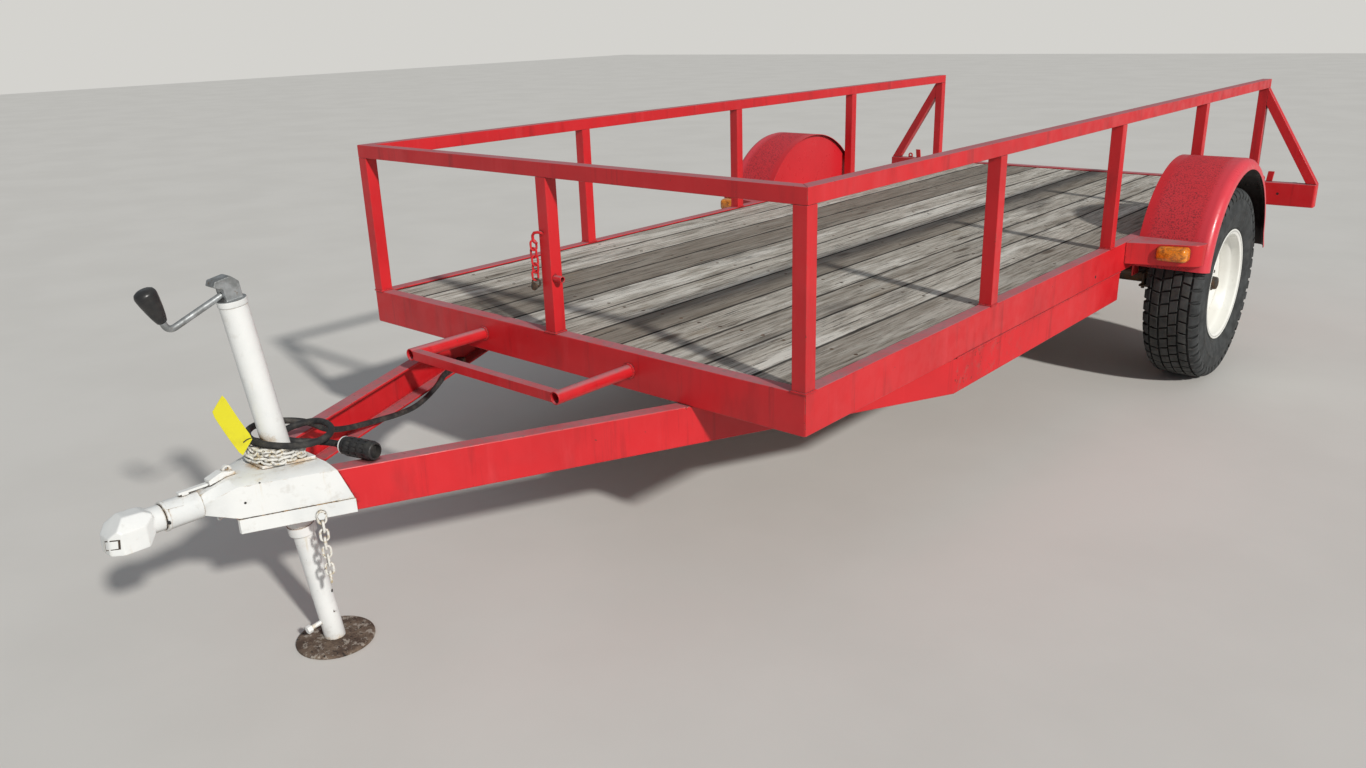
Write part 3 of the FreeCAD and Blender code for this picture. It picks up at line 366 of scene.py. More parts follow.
def white_paint(name="white_paint", rust=1.0, chipped=0.0):
    """Thick white enamel, dulled by dust, rust bleeding from seams and edges, with patches of
    painted shade.
    """
    f = Finish(name, WHITE)
    # Painted shade: broad bluish-grey patches
    f.stain((0.6, 0.63, 0.64), 7.0, 6, 0.4, 0.68, most=0.55)
    f.stain((0.46, 0.43, 0.38), 30.0, 9, 0.54, 0.72, most=0.34, rough=0.65)
    f.stain((0.55, 0.42, 0.2), 34.0, 7, 0.6, 0.74, most=0.42 * rust, stretch=(1, 1, 0.16),
            rough=0.6)
    # Painted shade: faces that look down are darkened brown
    f.layer(DIRT_AND_SHADE, f.spread(f.axis(f.facing, "Z"), -0.45, -0.9, 0.0, 0.5 * rust))
    f.stain(YELLOW_RUST, 17.0, 6, 0.42, 0.58, most=0.85 * rust,
            where=f.crevice(0.018, 0.84, 0.55, 0.1))
    # Painted shade: dark brown in the tight corners where parts meet
    seams = f.crevice(0.006, 0.74, 0.54, 0.06)
    f.layer((0.06, 0.042, 0.028), seams, 0.92)
    wear = f.noise(52.0, 10, rough=0.75)
    f.layer((0.4, 0.27, 0.11), f.spread(wear, 0.47, 0.62, 0.0, 0.8 * rust), f.worn_edge(0.003))
    spots = f.spread(wear, 0.715 - chipped, 0.735 - chipped, 0.0, rust)
    f.layer(DARK_RUST, f.greater(spots, f.times(f.worn_edge(0.0045),
                                                f.spread(wear, 0.625, 0.65, 0.0, rust))))
    f.bump(f.calc("ADD", f.times(f.noise(70.0), 0.7), f.times(spots, -0.6)), 0.001, 0.5)
    return f.done(f.greater(f.varied(30.0, 0.3, 0.58, 6), f.times(seams, 0.85)))


def rusty_white():
    """Worn white paint on chain, part of it stained yellow-brown, with painted shade where links
    meet.
    """
    f = Finish("chain_paint", (0.74, 0.73, 0.69), 0.62)
    wear = f.noise(75.0, 8, rough=0.7)
    f.layer((0.5, 0.41, 0.26), f.spread(wear, 0.4875, 0.635))
    f.stain(DARK_RUST, 120.0, 6, 0.6, 0.69)
    # Painted shade: darker between the links where they touch
    f.layer((0.1, 0.075, 0.05), f.crevice(0.006, 0.7, 0.3), 0.8)
    f.bump(wear, 0.0006, 0.5)
    return f.done()


def rusty_steel(name="rusty_steel", share=0.5, oily=0.25):
    """Dull black steel, a share of it brown with rust, its dirt shiny where it is oily."""
    f = Finish(name, (0.045, 0.04, 0.034), 0.7, 0.25)
    base = f.noise(30.0, 9, rough=0.7)
    f.layer((0.15, 0.075, 0.034), f.spread(base, 0.5 - 0.2 * share, 0.72 - 0.2 * share))
    f.stain((0.066, 0.044, 0.026), 9.0, 7, 0.42, 0.66)
    f.stain(DIRT_AND_SHADE, 55.0, 6, 0.55, 0.75, most=0.5)
    f.bump(base, 0.0012, 0.6)
    return f.done(f.spread(base, 0.3, 0.7, 0.6 - oily, 0.85))


def seam_rust():
    """Dark crack along a seam with yellow rust that runs out of it."""
    f = Finish("seam_rust", (0.045, 0.032, 0.024), 0.85)
    f.stain((0.36, 0.215, 0.08), 45.0, 8, 0.5, 0.62, rough=0.7)
    f.bump(f.noise(120.0, 5), 0.0008, 0.6)
    return f.done()


def dirty_foot():
    """The foot's plate: earth and old paint over dark rust."""
    f = Finish("dirty_foot", (0.085, 0.055, 0.04), 0.85, 0.1)
    base = f.noise(26.0, 9, rough=0.72)
    f.layer((0.185, 0.135, 0.098), f.spread(base, 0.4, 0.6))
    f.stain((0.4, 0.36, 0.31), 60.0, 9, 0.52, 0.6, most=0.85, rough=0.7)
    f.stain((0.03, 0.022, 0.018), 85.0, 7, 0.6, 0.66)
    f.bump(base, 0.0016, 0.7)
    return f.done()


def zinc(name, crease):
    """Mottled zinc with brown spots and painted shade in its corners; the crease sets where that
    shade is full.
    """
    f = Finish(name, (0.44, 0.46, 0.47), 0.45, 0.65)
    mottle = f.noise(42.0, 6)
    f.layer((0.24, 0.25, 0.25), f.spread(mottle, 0.35, 0.65))
    f.stain((0.2, 0.13, 0.075), 80.0, 8, 0.6, 0.7, most=0.7)
    # Painted shade: darker in the corners where parts meet
    f.layer((0.06, 0.055, 0.05), f.crevice(0.01, 0.7, crease), 0.8)
    f.bump(f.noise(120.0), 0.0008, 0.4)
    return f, f.spread(mottle, 0.3, 0.7, 0.36, 0.62)


def zinc_plate():
    f, roughness = zinc("zinc_plate", 0.35)
    return f.done(roughness)


def jack_top_finish():
    """Zinc casting; the ring that closes the tube is painted white with it."""
    f, roughness = zinc("jack_top", 0.45)
    up = leaning(JACK_LEAN)[0]
    along = f.calc("ADD", f.times(f.axis(f.place, "Z"), up.z), f.times(f.axis(f.place, "Y"), up.y))
    edge = jack_top().dot(up) + CAP_HEIGHT
    painted = f.spread(along, edge - 0.0004, edge - 0.0014)
    paint = f.mix(f.spread(f.noise(20.0, 7), 0.45, 0.65, 0.0, 0.5), WHITE, (0.55, 0.56, 0.55))
    f.layer(paint, painted)
    f.set(Metallic=f.times(f.calc("SUBTRACT", 1.0, painted), 0.65))
    return f.done(roughness)


def weathered_timber():
    """Grey planks: each its own tone, with grain, checks, stains and knots along its length, and
    painted shade at edges.
    """
    f = Finish("weathered_timber", (0.235, 0.208, 0.168), 0.88)
    low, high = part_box("deck_planks")
    pitch = (high.x - low.x + PLANK_GAP) / PLANKS
    x, y, z = (f.axis(f.place, letter) for letter in "XYZ")
    counted = f.calc("DIVIDE", f.calc("ADD", x, PLANK_GAP / 2 - low.x), pitch)
    tone = f.node("TexWhiteNoise", {"W": f.calc("FLOOR", counted)}, noise_dimensions="1D")
    place = f.node("CombineXYZ", {0: x, 1: f.calc("ADD", y, f.times(tone, 17.0)),
                                  2: f.calc("ADD", z, f.times(tone, 5.0))})

    grain = f.noise(15.0, 9, (6.5, 0.28, 6.5), place, 0.7)
    f.layer((0.56, 0.53, 0.47), f.spread(grain, 0.36, 0.58))
    dark = f.spread(tone, 0.5, 0.8)
    f.layer((0.14, 0.112, 0.082), dark, 0.7)
    f.stain((0.72, 0.7, 0.64), 3.2, 10, 0.5, 0.6, stretch=(3.2, 0.34, 2), place=place,
            rough=0.72, where=f.calc("SUBTRACT", 0.9, f.times(dark, 0.78)))
    f.stain((0.115, 0.104, 0.092), 1.9, 9, 0.53, 0.66, most=0.62, stretch=(1.9, 0.5, 1.6),
            rough=0.68)
    f.stain((0.235, 0.16, 0.07), 3.1, 7, 0.6, 0.72, most=0.55, stretch=(1.2, 0.7, 1))
    f.stain((0.075, 0.062, 0.048), 30.0, 6, 0.47, 0.36, most=0.6, stretch=(9.0, 0.3, 9.0),
            place=place, rough=0.65)
    checks = f.spread(f.noise(34.0, 5, (5.0, 0.16, 4.0), place), 0.375, 0.33)
    f.layer((0.03, 0.024, 0.019), checks, 0.9)
    splits = f.spread(f.noise(5.5, 4, (9.0, 0.24, 1.0), place), 0.325, 0.3)
    f.layer((0.018, 0.014, 0.011), splits)
    knots = f.spread(f.cells(3.2, (2.2, 0.55, 1), place), 0.13, 0.05)
    f.layer((0.075, 0.05, 0.032), knots, 0.8)

    # Painted shade: near-black strips along each plank's edges, standing in for the shade in the
    # gaps
    across = f.calc("FRACT", counted)
    edge = f.times(f.calc("MINIMUM", across, f.calc("SUBTRACT", 1.0, across)), pitch)
    wander = f.spread(f.noise(9.0, 6, (1, 0.6, 1)), 0.3, 0.7, -0.0015, 0.0015)
    f.layer((0.014, 0.011, 0.009), f.spread(f.calc("ADD", edge, wander), 0.0075, 0.003, 0.0, 0.94))
    height = f.calc("ADD", f.times(grain, 0.7), f.times(checks, -1.2))
    f.bump(f.calc("ADD", height, f.times(splits, -1.5)), 0.0026, 0.9)
    return f.done()


def tyre_rubber():
    """Black-grey rubber; the tread's faces hold dust, its grooves and corners are painted with
    shade.
    """
    f = Finish("tyre_rubber", (0.021, 0.023, 0.024))
    tread = f.spread(f.wheel_radius(), TYRE_RADIUS - 0.006, TYRE_RADIUS - 0.001)
    f.stain((0.046, 0.05, 0.052), 24.0, 7, 0.35, 0.7)
    f.stain((0.052, 0.047, 0.036), 60.0, 8, 0.4, 0.7, 0.05, 0.6, rough=0.65, where=tread)
    f.stain((0.11, 0.106, 0.098), 14.0, 8, 0.55, 0.76, most=0.45, rough=0.7)
    f.stain((0.13, 0.12, 0.098), 50.0, 6, 0.4, 0.62, most=0.5, where=f.worn_edge(0.0022))
    # Painted shade: near black in the grooves and corners
    f.layer((0.006, 0.006, 0.006), f.crevice(0.01, 0.78, 0.45), 0.95)
    f.bump(f.noise(260.0, 5), 0.0007, 0.5)
    return f.done(f.varied(40.0, 0.62, 0.88))


def rim_paint():
    """White wheel enamel with a grey bead line, a ring and corners of painted shade, and road dust,
    rusty by the hub.
    """
    f = Finish("rim_paint", (0.84, 0.84, 0.8))
    r = f.wheel_radius()
    f.stain((0.7, 0.69, 0.63), 9.0, 6, 0.42, 0.7, most=0.3)
    # Painted shade: a grey ring between the lip and the disc's face
    f.layer((0.5, 0.48, 0.42), f.spread(r, 0.15, 0.166, 0.0, 0.35), f.spread(r, 0.186, 0.172))
    f.layer((0.34, 0.34, 0.33), f.spread(r, 0.1955, 0.1975, 0.0, 0.65), f.spread(r, 0.2025, 0.2005))
    f.stain((0.42, 0.33, 0.2), 45.0, 8, 0.35, 0.65, most=0.6, where=f.spread(r, 0.085, 0.045))
    f.stain((0.46, 0.42, 0.35), 60.0, 9, 0.57, 0.75, most=0.3, rough=0.7)
    # Painted shade: darker in the corners
    f.layer((0.16, 0.12, 0.08), f.crevice(0.008, 0.6, 0.3), 0.75)
    f.bump(f.noise(120.0), 0.0005, 0.3)
    return f.done(f.varied(25.0, 0.26, 0.46))


def lens(name, colour, deep):
    """Moulded lens: a mottle of its optics and old dirt behind a clear, faceted face."""
    f = Finish(name, colour)
    cells = f.cells(150.0, (1, 1, 1.4))
    f.stain(deep, 62.0, 6, 0.46, 0.64, stretch=(1, 1, 1.6), rough=0.65)
    f.layer(deep, f.spread(cells, 0.35, 0.6, 0.0, 0.3))
    f.set(Coat_Weight=0.6, Coat_Roughness=0.08, Subsurface_Weight=0.2,
          Subsurface_Radius=(0.006, 0.003, 0.001))
    f.bump(cells, 0.0012, 0.4)
    return f.done(f.varied(60.0, 0.14, 0.34, 4))


def dusty_black(name, dust, roughness):
    """Black plastic or rubber under a film of dust."""
    f = Finish(name, (0.018, 0.018, 0.019))
    f.stain((0.11, 0.1, 0.086), 38.0, 8, 0.42, 0.75, most=dust, rough=0.65)
    f.bump(f.noise(200.0), 0.0004, 0.4)
    return f.done(f.varied(50.0, roughness - 0.15, roughness + 0.15))


def tag_plastic():
    f = Finish("tag_plastic", (0.72, 0.66, 0.02), 0.42)
    f.stain((0.5, 0.43, 0.03), 30.0, 7, 0.5, 0.8, most=0.4)
    f.bump(f.noise(50.0, 3), 0.0006, 0.3)
    return f.done()


def pale_floor():
    f = Finish("floor", (0.66, 0.645, 0.615), 0.9)
    f.stain((0.69, 0.675, 0.645), 1.3, 5, 0.35, 0.65)
    return f.done()


def placed(name, data):
    """A new object in the scene."""
    thing = bpy.data.objects.new(name, data)
    bpy.context.scene.collection.objects.link(thing)
    return thing


def add_piece(name, shape, finish, body="trailer", stands_for=None):
    """A new mesh piece that rides on a CAD body and may stand for one of its nodes."""
    verts, faces = shape
    mesh = bpy.data.meshes.new(name)
    mesh.from_pydata([tuple(v) for v in verts], [], faces)
    mesh.validate()
    work = bmesh.new()
    work.from_mesh(mesh)
    bmesh.ops.recalc_face_normals(work, faces=work.faces)
    work.to_mesh(mesh)
    work.free()
    mesh.polygons.foreach_set("use_smooth", [True] * len(mesh.polygons))
    mesh.set_sharp_from_angle(angle=SHARP_ANGLE)
    mesh.materials.append(finish)
    piece = placed(name, mesh)
    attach(piece, body)
    if stands_for:
        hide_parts(stands_for)
    return piece


def frame_along(direction):
    """Two directions across the given one."""
    direction = direction.normalized()
    side = direction.cross(Vector((0, 0, 1)))
    if side.length < 0.05:
        side = direction.cross(Vector((0, 1, 0)))
    side.normalize()
    return side, side.cross(direction).normalized()


def skin(rings, closed=False, capped=True):
    """Vertices and faces over rings of as many points each, capped or closed into a loop."""
    size = len(rings[0])
    verts = [point for ring in rings for point in ring]
    faces = []
    for level in range(len(rings) if closed else len(rings) - 1):
        a, b = level * size, (level + 1) % len(rings) * size
        for index in range(size):
            following = (index + 1) % size
            faces.append((a + index, a + following, b + following, b + index))
    if capped and not closed:
        faces.append(tuple(range(size))[::-1])
        faces.append(tuple(range(len(verts) - size, len(verts))))
    return verts, faces


def strip(first, last):
    """Quads across a ring whose second half runs back beside its first."""
    return [(first + i, first + i + 1, last - i - 1, last - i) for i in range((last - first) // 2)]


def circle(centre, side, up, radius, count):
    """Points round a centre, in the plane of two directions."""
    turns = [2 * pi * index / count for index in range(count)]
    return [centre + (side * cos(turn) + up * sin(turn)) * radius for turn in turns]


def lathe(profile, start, direction, segments=48):
    """Revolve about a line from the start; the profile is (distance along, radius)."""
    side, up = frame_along(direction)
    direction = direction.normalized()
    return skin([circle(start + direction * along, side, up, radius, segments)
                 for along, radius in profile])


def sweep(points, radius, sides=8, closed=False, wobble=0.0, seed=0):
    """Tube along points, its rings kept from twisting; wobble makes it beady."""
    chance = random.Random(seed)
    count = len(points)
    rings = []
    across = None
    for index, point in enumerate(points):
        before = points[index - 1] if (index or closed) else point
        after = points[(index + 1) % count] if (index < count - 1 or closed) else point
        along = (after - before).normalized()
        if across is None:
            across = frame_along(along)[0]
        across = (across - along * across.dot(along)).normalized()
        size = radius * (1 + wobble * (chance.random() - 0.5))
        rings.append(circle(point, across, along.cross(across), size, sides))
    return skin(rings, closed)


def gathered(parts):
    """Several (vertices, faces) as one."""
    verts, faces = [], []
    for part_verts, part_faces in parts:
        base = len(verts)
        verts += part_verts
        faces += [tuple(base + i for i in face) for face in part_faces]
    return verts, faces


def between(start, end, step):
    """Points from start to end about a step apart, both ends in."""
    count = max(1, round((end - start).length / step))
    return [start.lerp(end, index / count) for index in range(count + 1)]


def weld_bead(points, radius, seed):
    path = []
    for start, end in zip(points, points[1:]):
        path += between(start, end, BEAD_STEP)[(1 if path else 0):]
    return sweep(path, radius, 6, wobble=0.55, seed=seed)


def dressed(node, finish):
    """A CAD node with its own finish and its doubled vertices welded."""
    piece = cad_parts[node]
    piece.data.materials.clear()
    piece.data.materials.append(finish)
    for polygon in piece.data.polygons:
        polygon.material_index = 0
    settled(piece.modifiers.new("weld", "WELD"), merge_threshold=DOUBLE_POINTS)
    return piece


def soften(node, width, segments, finish):
    """A dressed CAD node with rounded edges."""
    piece = dressed(node, finish)
    settled(piece.modifiers.new("flat", "DECIMATE"), decimate_type="DISSOLVE",
            angle_limit=FLAT_ANGLE)
    settled(piece.modifiers.new("bevel", "BEVEL"), width=width, segments=segments,
            limit_method="ANGLE", angle_limit=BEVEL_ANGLE, use_clamp_overlap=True,
            miter_outer="MITER_ARC")
    settled(piece.modifiers.new("shade", "WEIGHTED_NORMAL"), weight=60, keep_sharp=False)


def cast_surface(node, voxel, rounds, finish):
    """A dressed CAD node with the soft edges of a casting."""
    piece = dressed(node, finish)
    settled(piece.modifiers.new("shell", "REMESH"), mode="VOXEL", voxel_size=voxel,
            use_smooth_shade=True)
    settled(piece.modifiers.new("ease", "SMOOTH"), factor=0.5, iterations=rounds)


def tyre_profile():
    """Carcass from the crown's middle to the bead: (x from the wheel's middle, radius)."""
    return [(0.0, 0.3515), (0.032, 0.351), (0.06, 0.3495), (0.073, 0.3465), (0.082, 0.3405),
            (0.088, 0.331), (0.0925, 0.318), (0.0968, 0.302), (0.0995, 0.285),
            (0.1005, 0.279), (0.1018, 0.2775), (0.102, 0.2735), (0.1005, 0.271),
            (0.0995, 0.256), (0.0955, 0.238), (0.0905, 0.2245), (0.089, 0.22),
            (0.0905, 0.218), (0.0885, 0.214), (0.086, 0.211), (0.0815, 0.2035),
            (0.079, 0.1975), (0.0735, 0.1925)]


def along_profile(profile, distance):
    """(x, radius, normal x, normal radius) at a distance along the profile."""
    travelled = 0.0
    for (x0, r0), (x1, r1) in zip(profile, profile[1:]):
        length = hypot(x1 - x0, r1 - r0)
        if travelled + length >= distance:
            share = (distance - travelled) / length
            return (x0 + (x1 - x0) * share, r0 + (r1 - r0) * share,
                    -(r1 - r0) / length, (x1 - x0) / length)
        travelled += length
    return (*profile[-1], 1.0, 0.0)


def wheel_point(side, x, radius, turn):
    """Point of a wheel from x out of its middle plane, a radius and a turn about the axle."""
    return Vector((side * (WHEEL_MIDDLE.x + x), WHEEL_MIDDLE.y + radius * sin(turn),
                   WHEEL_MIDDLE.z + radius * cos(turn)))


def wheel_lathe(side, profile, segments):
    """Closed revolve about the axle; the profile is (x from the wheel's middle, radius)."""
    turns = [2 * pi * index / segments for index in range(segments)]
    return skin([[wheel_point(side, x, r, turn) for turn in turns] for x, r in profile], closed=True)


def tread_block(side, half, start, end, turn, width, slant, steps):
    """One block of rubber between two distances along the carcass, its top edges eased."""
    gap, ease = 0.0022, 0.0012
    rings = []
    for height, inset in ((-0.001, 0.0), (TREAD_DEPTH - ease, 0.0), (TREAD_DEPTH, ease)):
        low, high = start + gap / 2 + inset, end - gap / 2 - inset
        edges = {-1: [], 1: []}
        for index in range(steps + 1):
            place = low + (high - low) * index / steps
            x, r, out_x, out_r = along_profile(tyre_profile(), place)
            lean = slant * (place - start) / (end - start)
            tall = height * (1.0 if r > 0.33 else max(0.15, 1 - (0.33 - r) / 0.016))
            reach = width / 2 - inset / TYRE_RADIUS - (0.01 if r < 0.347 else 0.0)
            for sign, edge in edges.items():
                edge.append(wheel_point(side, half * (x + out_x * tall), r + out_r * tall,
                                        turn + lean + sign * reach))
        rings.append(edges[-1] + edges[1][::-1])
    verts, faces = skin(rings, capped=False)
    return verts, faces + strip(len(verts) - len(rings[0]), len(verts) - 1)


def add_tyre(side, name, finish):
    profile = tyre_profile()
    parts = [wheel_lathe(side, flipped(profile[:0:-1]) + profile, 96)]
    pitch = 2 * pi / WHEEL_BLOCKS
    for half in (-1, 1):
        for start, end, lean, shift, steps in TREAD_ROWS:
            for index in range(WHEEL_BLOCKS):
                turn = (index + shift * (1 if half > 0 else 0.55)) * pitch
                parts.append(tread_block(side, half, start, end, turn, pitch * 0.86,
                                         lean * half, steps))
    add_piece("tyre_tread_" + name, gathered(parts), finish, "wheel_" + name,
              "tyre_" + name)


def flipped(profile):
    """The profile on the other side of the wheel's middle."""
    return [(-x, r) for x, r in profile]


def rim_profile():
    """Outside of the rim from its inner lip to its outer one, then back inside."""
    lip = [(0.0885, 0.2055), (0.0865, 0.207), (0.0845, 0.2045), (0.083, 0.1975),
           (0.0795, 0.1915), (0.074, 0.1905)]
    well = [(-0.053, 0.1903), (-0.048, 0.186), (-0.04, 0.169), (-0.036, 0.1662),
            (0.017, 0.1662), (0.0215, 0.169), (0.047, 0.186), (0.052, 0.1903)]
    inner_lip = [(0.088, 0.202), (0.0865, 0.1955), (0.083, 0.1885), (0.076, 0.1868),
                 (0.056, 0.1866), (0.051, 0.1828)]
    inner_well = [(0.0255, 0.1656), (0.02, 0.1628), (-0.037, 0.1628), (-0.043, 0.166)]
    return (flipped(lip) + well + lip[::-1] + inner_lip + inner_well + flipped(inner_lip)[::-1])


def disc_profile():
    """Dished wheel disc, its face and its back, from the centre hole to the rim's well."""
    face = [(0.005, 0.0345), (0.0055, 0.048), (0.005, 0.07), (0.0062, 0.079),
            (0.0115, 0.089), (0.0215, 0.1035), (0.0272, 0.112), (0.029, 0.119),
            (0.0268, 0.129), (0.0205, 0.145), (0.018, 0.154), (0.0185, 0.163)]
    back = [(x - 0.005, r) for x, r in face[::-1]]
    return face + back


def hex_nut(start, direction, flat, height, stud):
    """Nut with a chamfered top and the end of its stud."""
    reach = flat / 2 / cos(radians(30))
    nut = [(0, reach), (height * 0.82, reach), (height, reach * 0.86)]
    end = [(0, flat * 0.3), (height + stud * 0.8, flat * 0.3), (height + stud, flat * 0.22)]
    return gathered([lathe(nut, start, direction, 6), lathe(end, start, direction, 12)])


def add_wheel(side, name, paint, rust):
    """Rim and disc, and the hub with its cap, washers and nuts."""
    body = "wheel_" + name
    rim = [wheel_lathe(side, rim_profile(), 128), wheel_lathe(side, disc_profile(), 96)]
    add_piece("rim_steel_" + name, gathered(rim), paint, body, "rim_" + name)
    out = Vector((side, 0, 0))
    parts = [lathe([(-0.072, 0.038), (-0.01, 0.038), (-0.0095, 0.072), (0.0, 0.072),
                    (0.0002, 0.0335), (0.03, 0.0325), (0.0345, 0.0305), (0.036, 0.025),
                    (0.054, 0.0238), (0.059, 0.0215), (0.0612, 0.015), (0.0618, 0.0)],
                   wheel_point(side, 0, 0, 0), out)]
    for index in range(NUT_COUNT):
        turn = radians(90 + 36 + 360 * index / NUT_COUNT)
        foot = wheel_point(side, 0.0045, NUT_CIRCLE, turn)
        parts.append(lathe([(0, 0.014), (0.003, 0.0135), (0.0032, 0.01)], foot, out, 16))
        parts.append(hex_nut(foot + out * 0.003, out, 0.0215, 0.019, 0.008))
    add_piece("hub_casting_" + name, gathered(parts), rust, body, "hub_" + name)


def link_path(centre, along, across, length, width, wire):
    """Middle line of a chain link: two half circles joined by straights."""
    radius = (width - wire) / 2
    half = (length - width) / 2
    points = []
    for sign in (1, -1):
        for step in range(9):
            turn = pi * (step / 8 - 0.5)
            points.append(centre + along * sign * (half + radius * cos(turn))
                          + across * sign * radius * sin(turn))
    return points


def chain_links(places, link=SAFETY_LINK):
    """Links of a length, width and wire from (centre, along, across) triples."""
    length, width, wire = link
    return gathered([sweep(link_path(c, a.normalized(), b.normalized(), length, width, wire),
                           wire / 2, closed=True) for c, a, b in places])


def hanging_chain():
    """The safety chain's end, which hangs beside the jack's leg, each link turned to the next."""
    low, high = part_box("hanging_chain")
    middle = (low + high) / 2
    turned = Vector((cos(TONGUE_TURN), -sin(TONGUE_TURN), 0))
    along_tongue = Vector((sin(TONGUE_TURN), cos(TONGUE_TURN), 0))
    places = []
    for index in range(HANGING_LINKS):
        drop = SAFETY_LINK[0] / 2 + index * HANGING_PITCH
        centre = Vector((middle.x, middle.y, high.z - drop))
        across = (along_tongue if index % 2 == 0 else turned).copy()
        across.rotate(Matrix.Rotation(0.12 * sin(index * 1.7), 3, "Z"))
        places.append((centre, Vector((0, 0, -1)), across))
    return chain_links(places)


def heaped_chain():
    """Loose rounds of chain on the jack's plate in front of and beside the tube."""
    chance = random.Random(5)
    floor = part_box("jack_base")[1].z
    jack = at(0, JACK_Y - 3, 0)
    places = []
    for radius, lift, first, last, count in HEAP_ROUNDS:
        for index in range(count):
            turn = radians(first + (last - first) * index / (count - 1))
            wander = radius + 0.006 * chance.random()
            centre = Vector((jack.x + wander * cos(turn) * 1.12,
                             jack.y + wander * sin(turn), floor + lift))
            sway = 0.5 * (chance.random() - 0.5)
            along = Vector((-sin(turn + sway), cos(turn + sway),
                            0.35 * (chance.random() - 0.5)))
            tip = (0.9 if index % 2 else -0.9) + 0.5 * (chance.random() - 0.5)
            across = Vector((cos(turn), sin(turn), tip))
            places.append((centre, along, across))
    return chain_links(places)


def add_cable(finish, plug_finish, ring_finish):
    """Cable as one smooth spline, with its plug, a free cord on the trailer."""
    curve = bpy.data.curves.new("cable", "CURVE")
    curve.dimensions = "3D"
    spline = curve.splines.new("NURBS")
    spline.points.add(len(CABLE_ROUTE) - 1)
    for point, place in zip(spline.points, CABLE_ROUTE):
        point.co = (*at(*place), 1.0)
    settled(spline, order_u=3, use_endpoint_u=True)
    settled(curve, bevel_depth=CABLE_RADIUS, bevel_resolution=4, resolution_u=10,
            use_fill_caps=True)
    curve.materials.append(finish)
    cable = placed("cable", curve)
    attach(cable, "trailer")
    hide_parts("trailer_cable")
    start = at(*CABLE_ROUTE[-1])
    start.z = (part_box("cable_plug")[0].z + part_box("cable_plug")[1].z) / 2
    along = Vector((cos(PLUG_TURN), sin(PLUG_TURN), 0))
    plug = add_piece("plug_body", plug_shape(start, along), plug_finish,
                     stands_for="cable_plug")
    r = PLUG_RADIUS
    band = [(0.016, r - 0.006), (0.0165, r - 0.0015), (0.018, r - 0.001),
            (0.0195, r - 0.0015), (0.02, r - 0.006)]
    ring = add_piece("plug_ring", lathe(band, start, along, 40), ring_finish)


def plug_shape(start, along):
    """Moulded plug: boot, waisted grip with ridges along it and a hollow mouth."""
    r = PLUG_RADIUS
    profile = [(0.0, CABLE_RADIUS + 0.0015), (0.004, CABLE_RADIUS + 0.003), (0.013, r - 0.006),
               (0.016, r - 0.002), (0.0225, r - 0.0018)]
    for number in range(PLUG_WAISTS):
        place = 0.026 + 0.02 * number
        profile += [(place, r - 0.0028), (place + 0.003, r - 0.0004), (place + 0.0125, r),
                    (place + 0.0165, r - 0.0022)]
    profile += [(PLUG_LENGTH - 0.002, r - 0.0018), (PLUG_LENGTH, r - 0.0034),
                (PLUG_LENGTH, r - 0.006), (PLUG_LENGTH - 0.012, r - 0.0064),
                (PLUG_LENGTH - 0.012, 0.0)]
    ridges = [sweep([foot + along * 0.03, foot + along * 0.1], 0.0016, 6)
              for foot in circle(start, *frame_along(along), r - 0.0012, PLUG_RIDGES)]
    return gathered([lathe(profile, start, along)] + ridges)


def add_tag(finish, tie):
    """Blank tag tied to the cable's loop, a little curled; it stands up from its tie."""
    steps = 10
    half = Vector((0.002, 0.0137, 0.0168))
    thick = Vector((0.0005, 0.0, 0.0))
    rings = []
    for index in range(steps + 1):
        share = index / steps
        centre = at(-2 - 2 * sin(share * 3), -909 + 46 * share - 1.2 * sin(share * 3.1),
                    643 - 112 * share)
        wide = half * (0.88 if index in (0, steps) else 1.0)
        rings.append([centre - wide - thick, centre + wide - thick,
                      centre + wide + thick, centre - wide + thick])
    add_piece("blank_tag", skin(rings), finish)
    path = [at(0, -871, 545), at(0, -863, 548.5), at(-1, -855, 549), at(-1, -846, 547.5),
            at(0, -837, 543), at(0, -833.5, 537), at(-1, -837, 530), at(-2, -846, 527.5),
            at(-4, -855, 530), at(-6, -862, 535), at(-6, -870, 542)]
    add_piece("tag_tie", sweep(path, 0.0012, 6), tie)


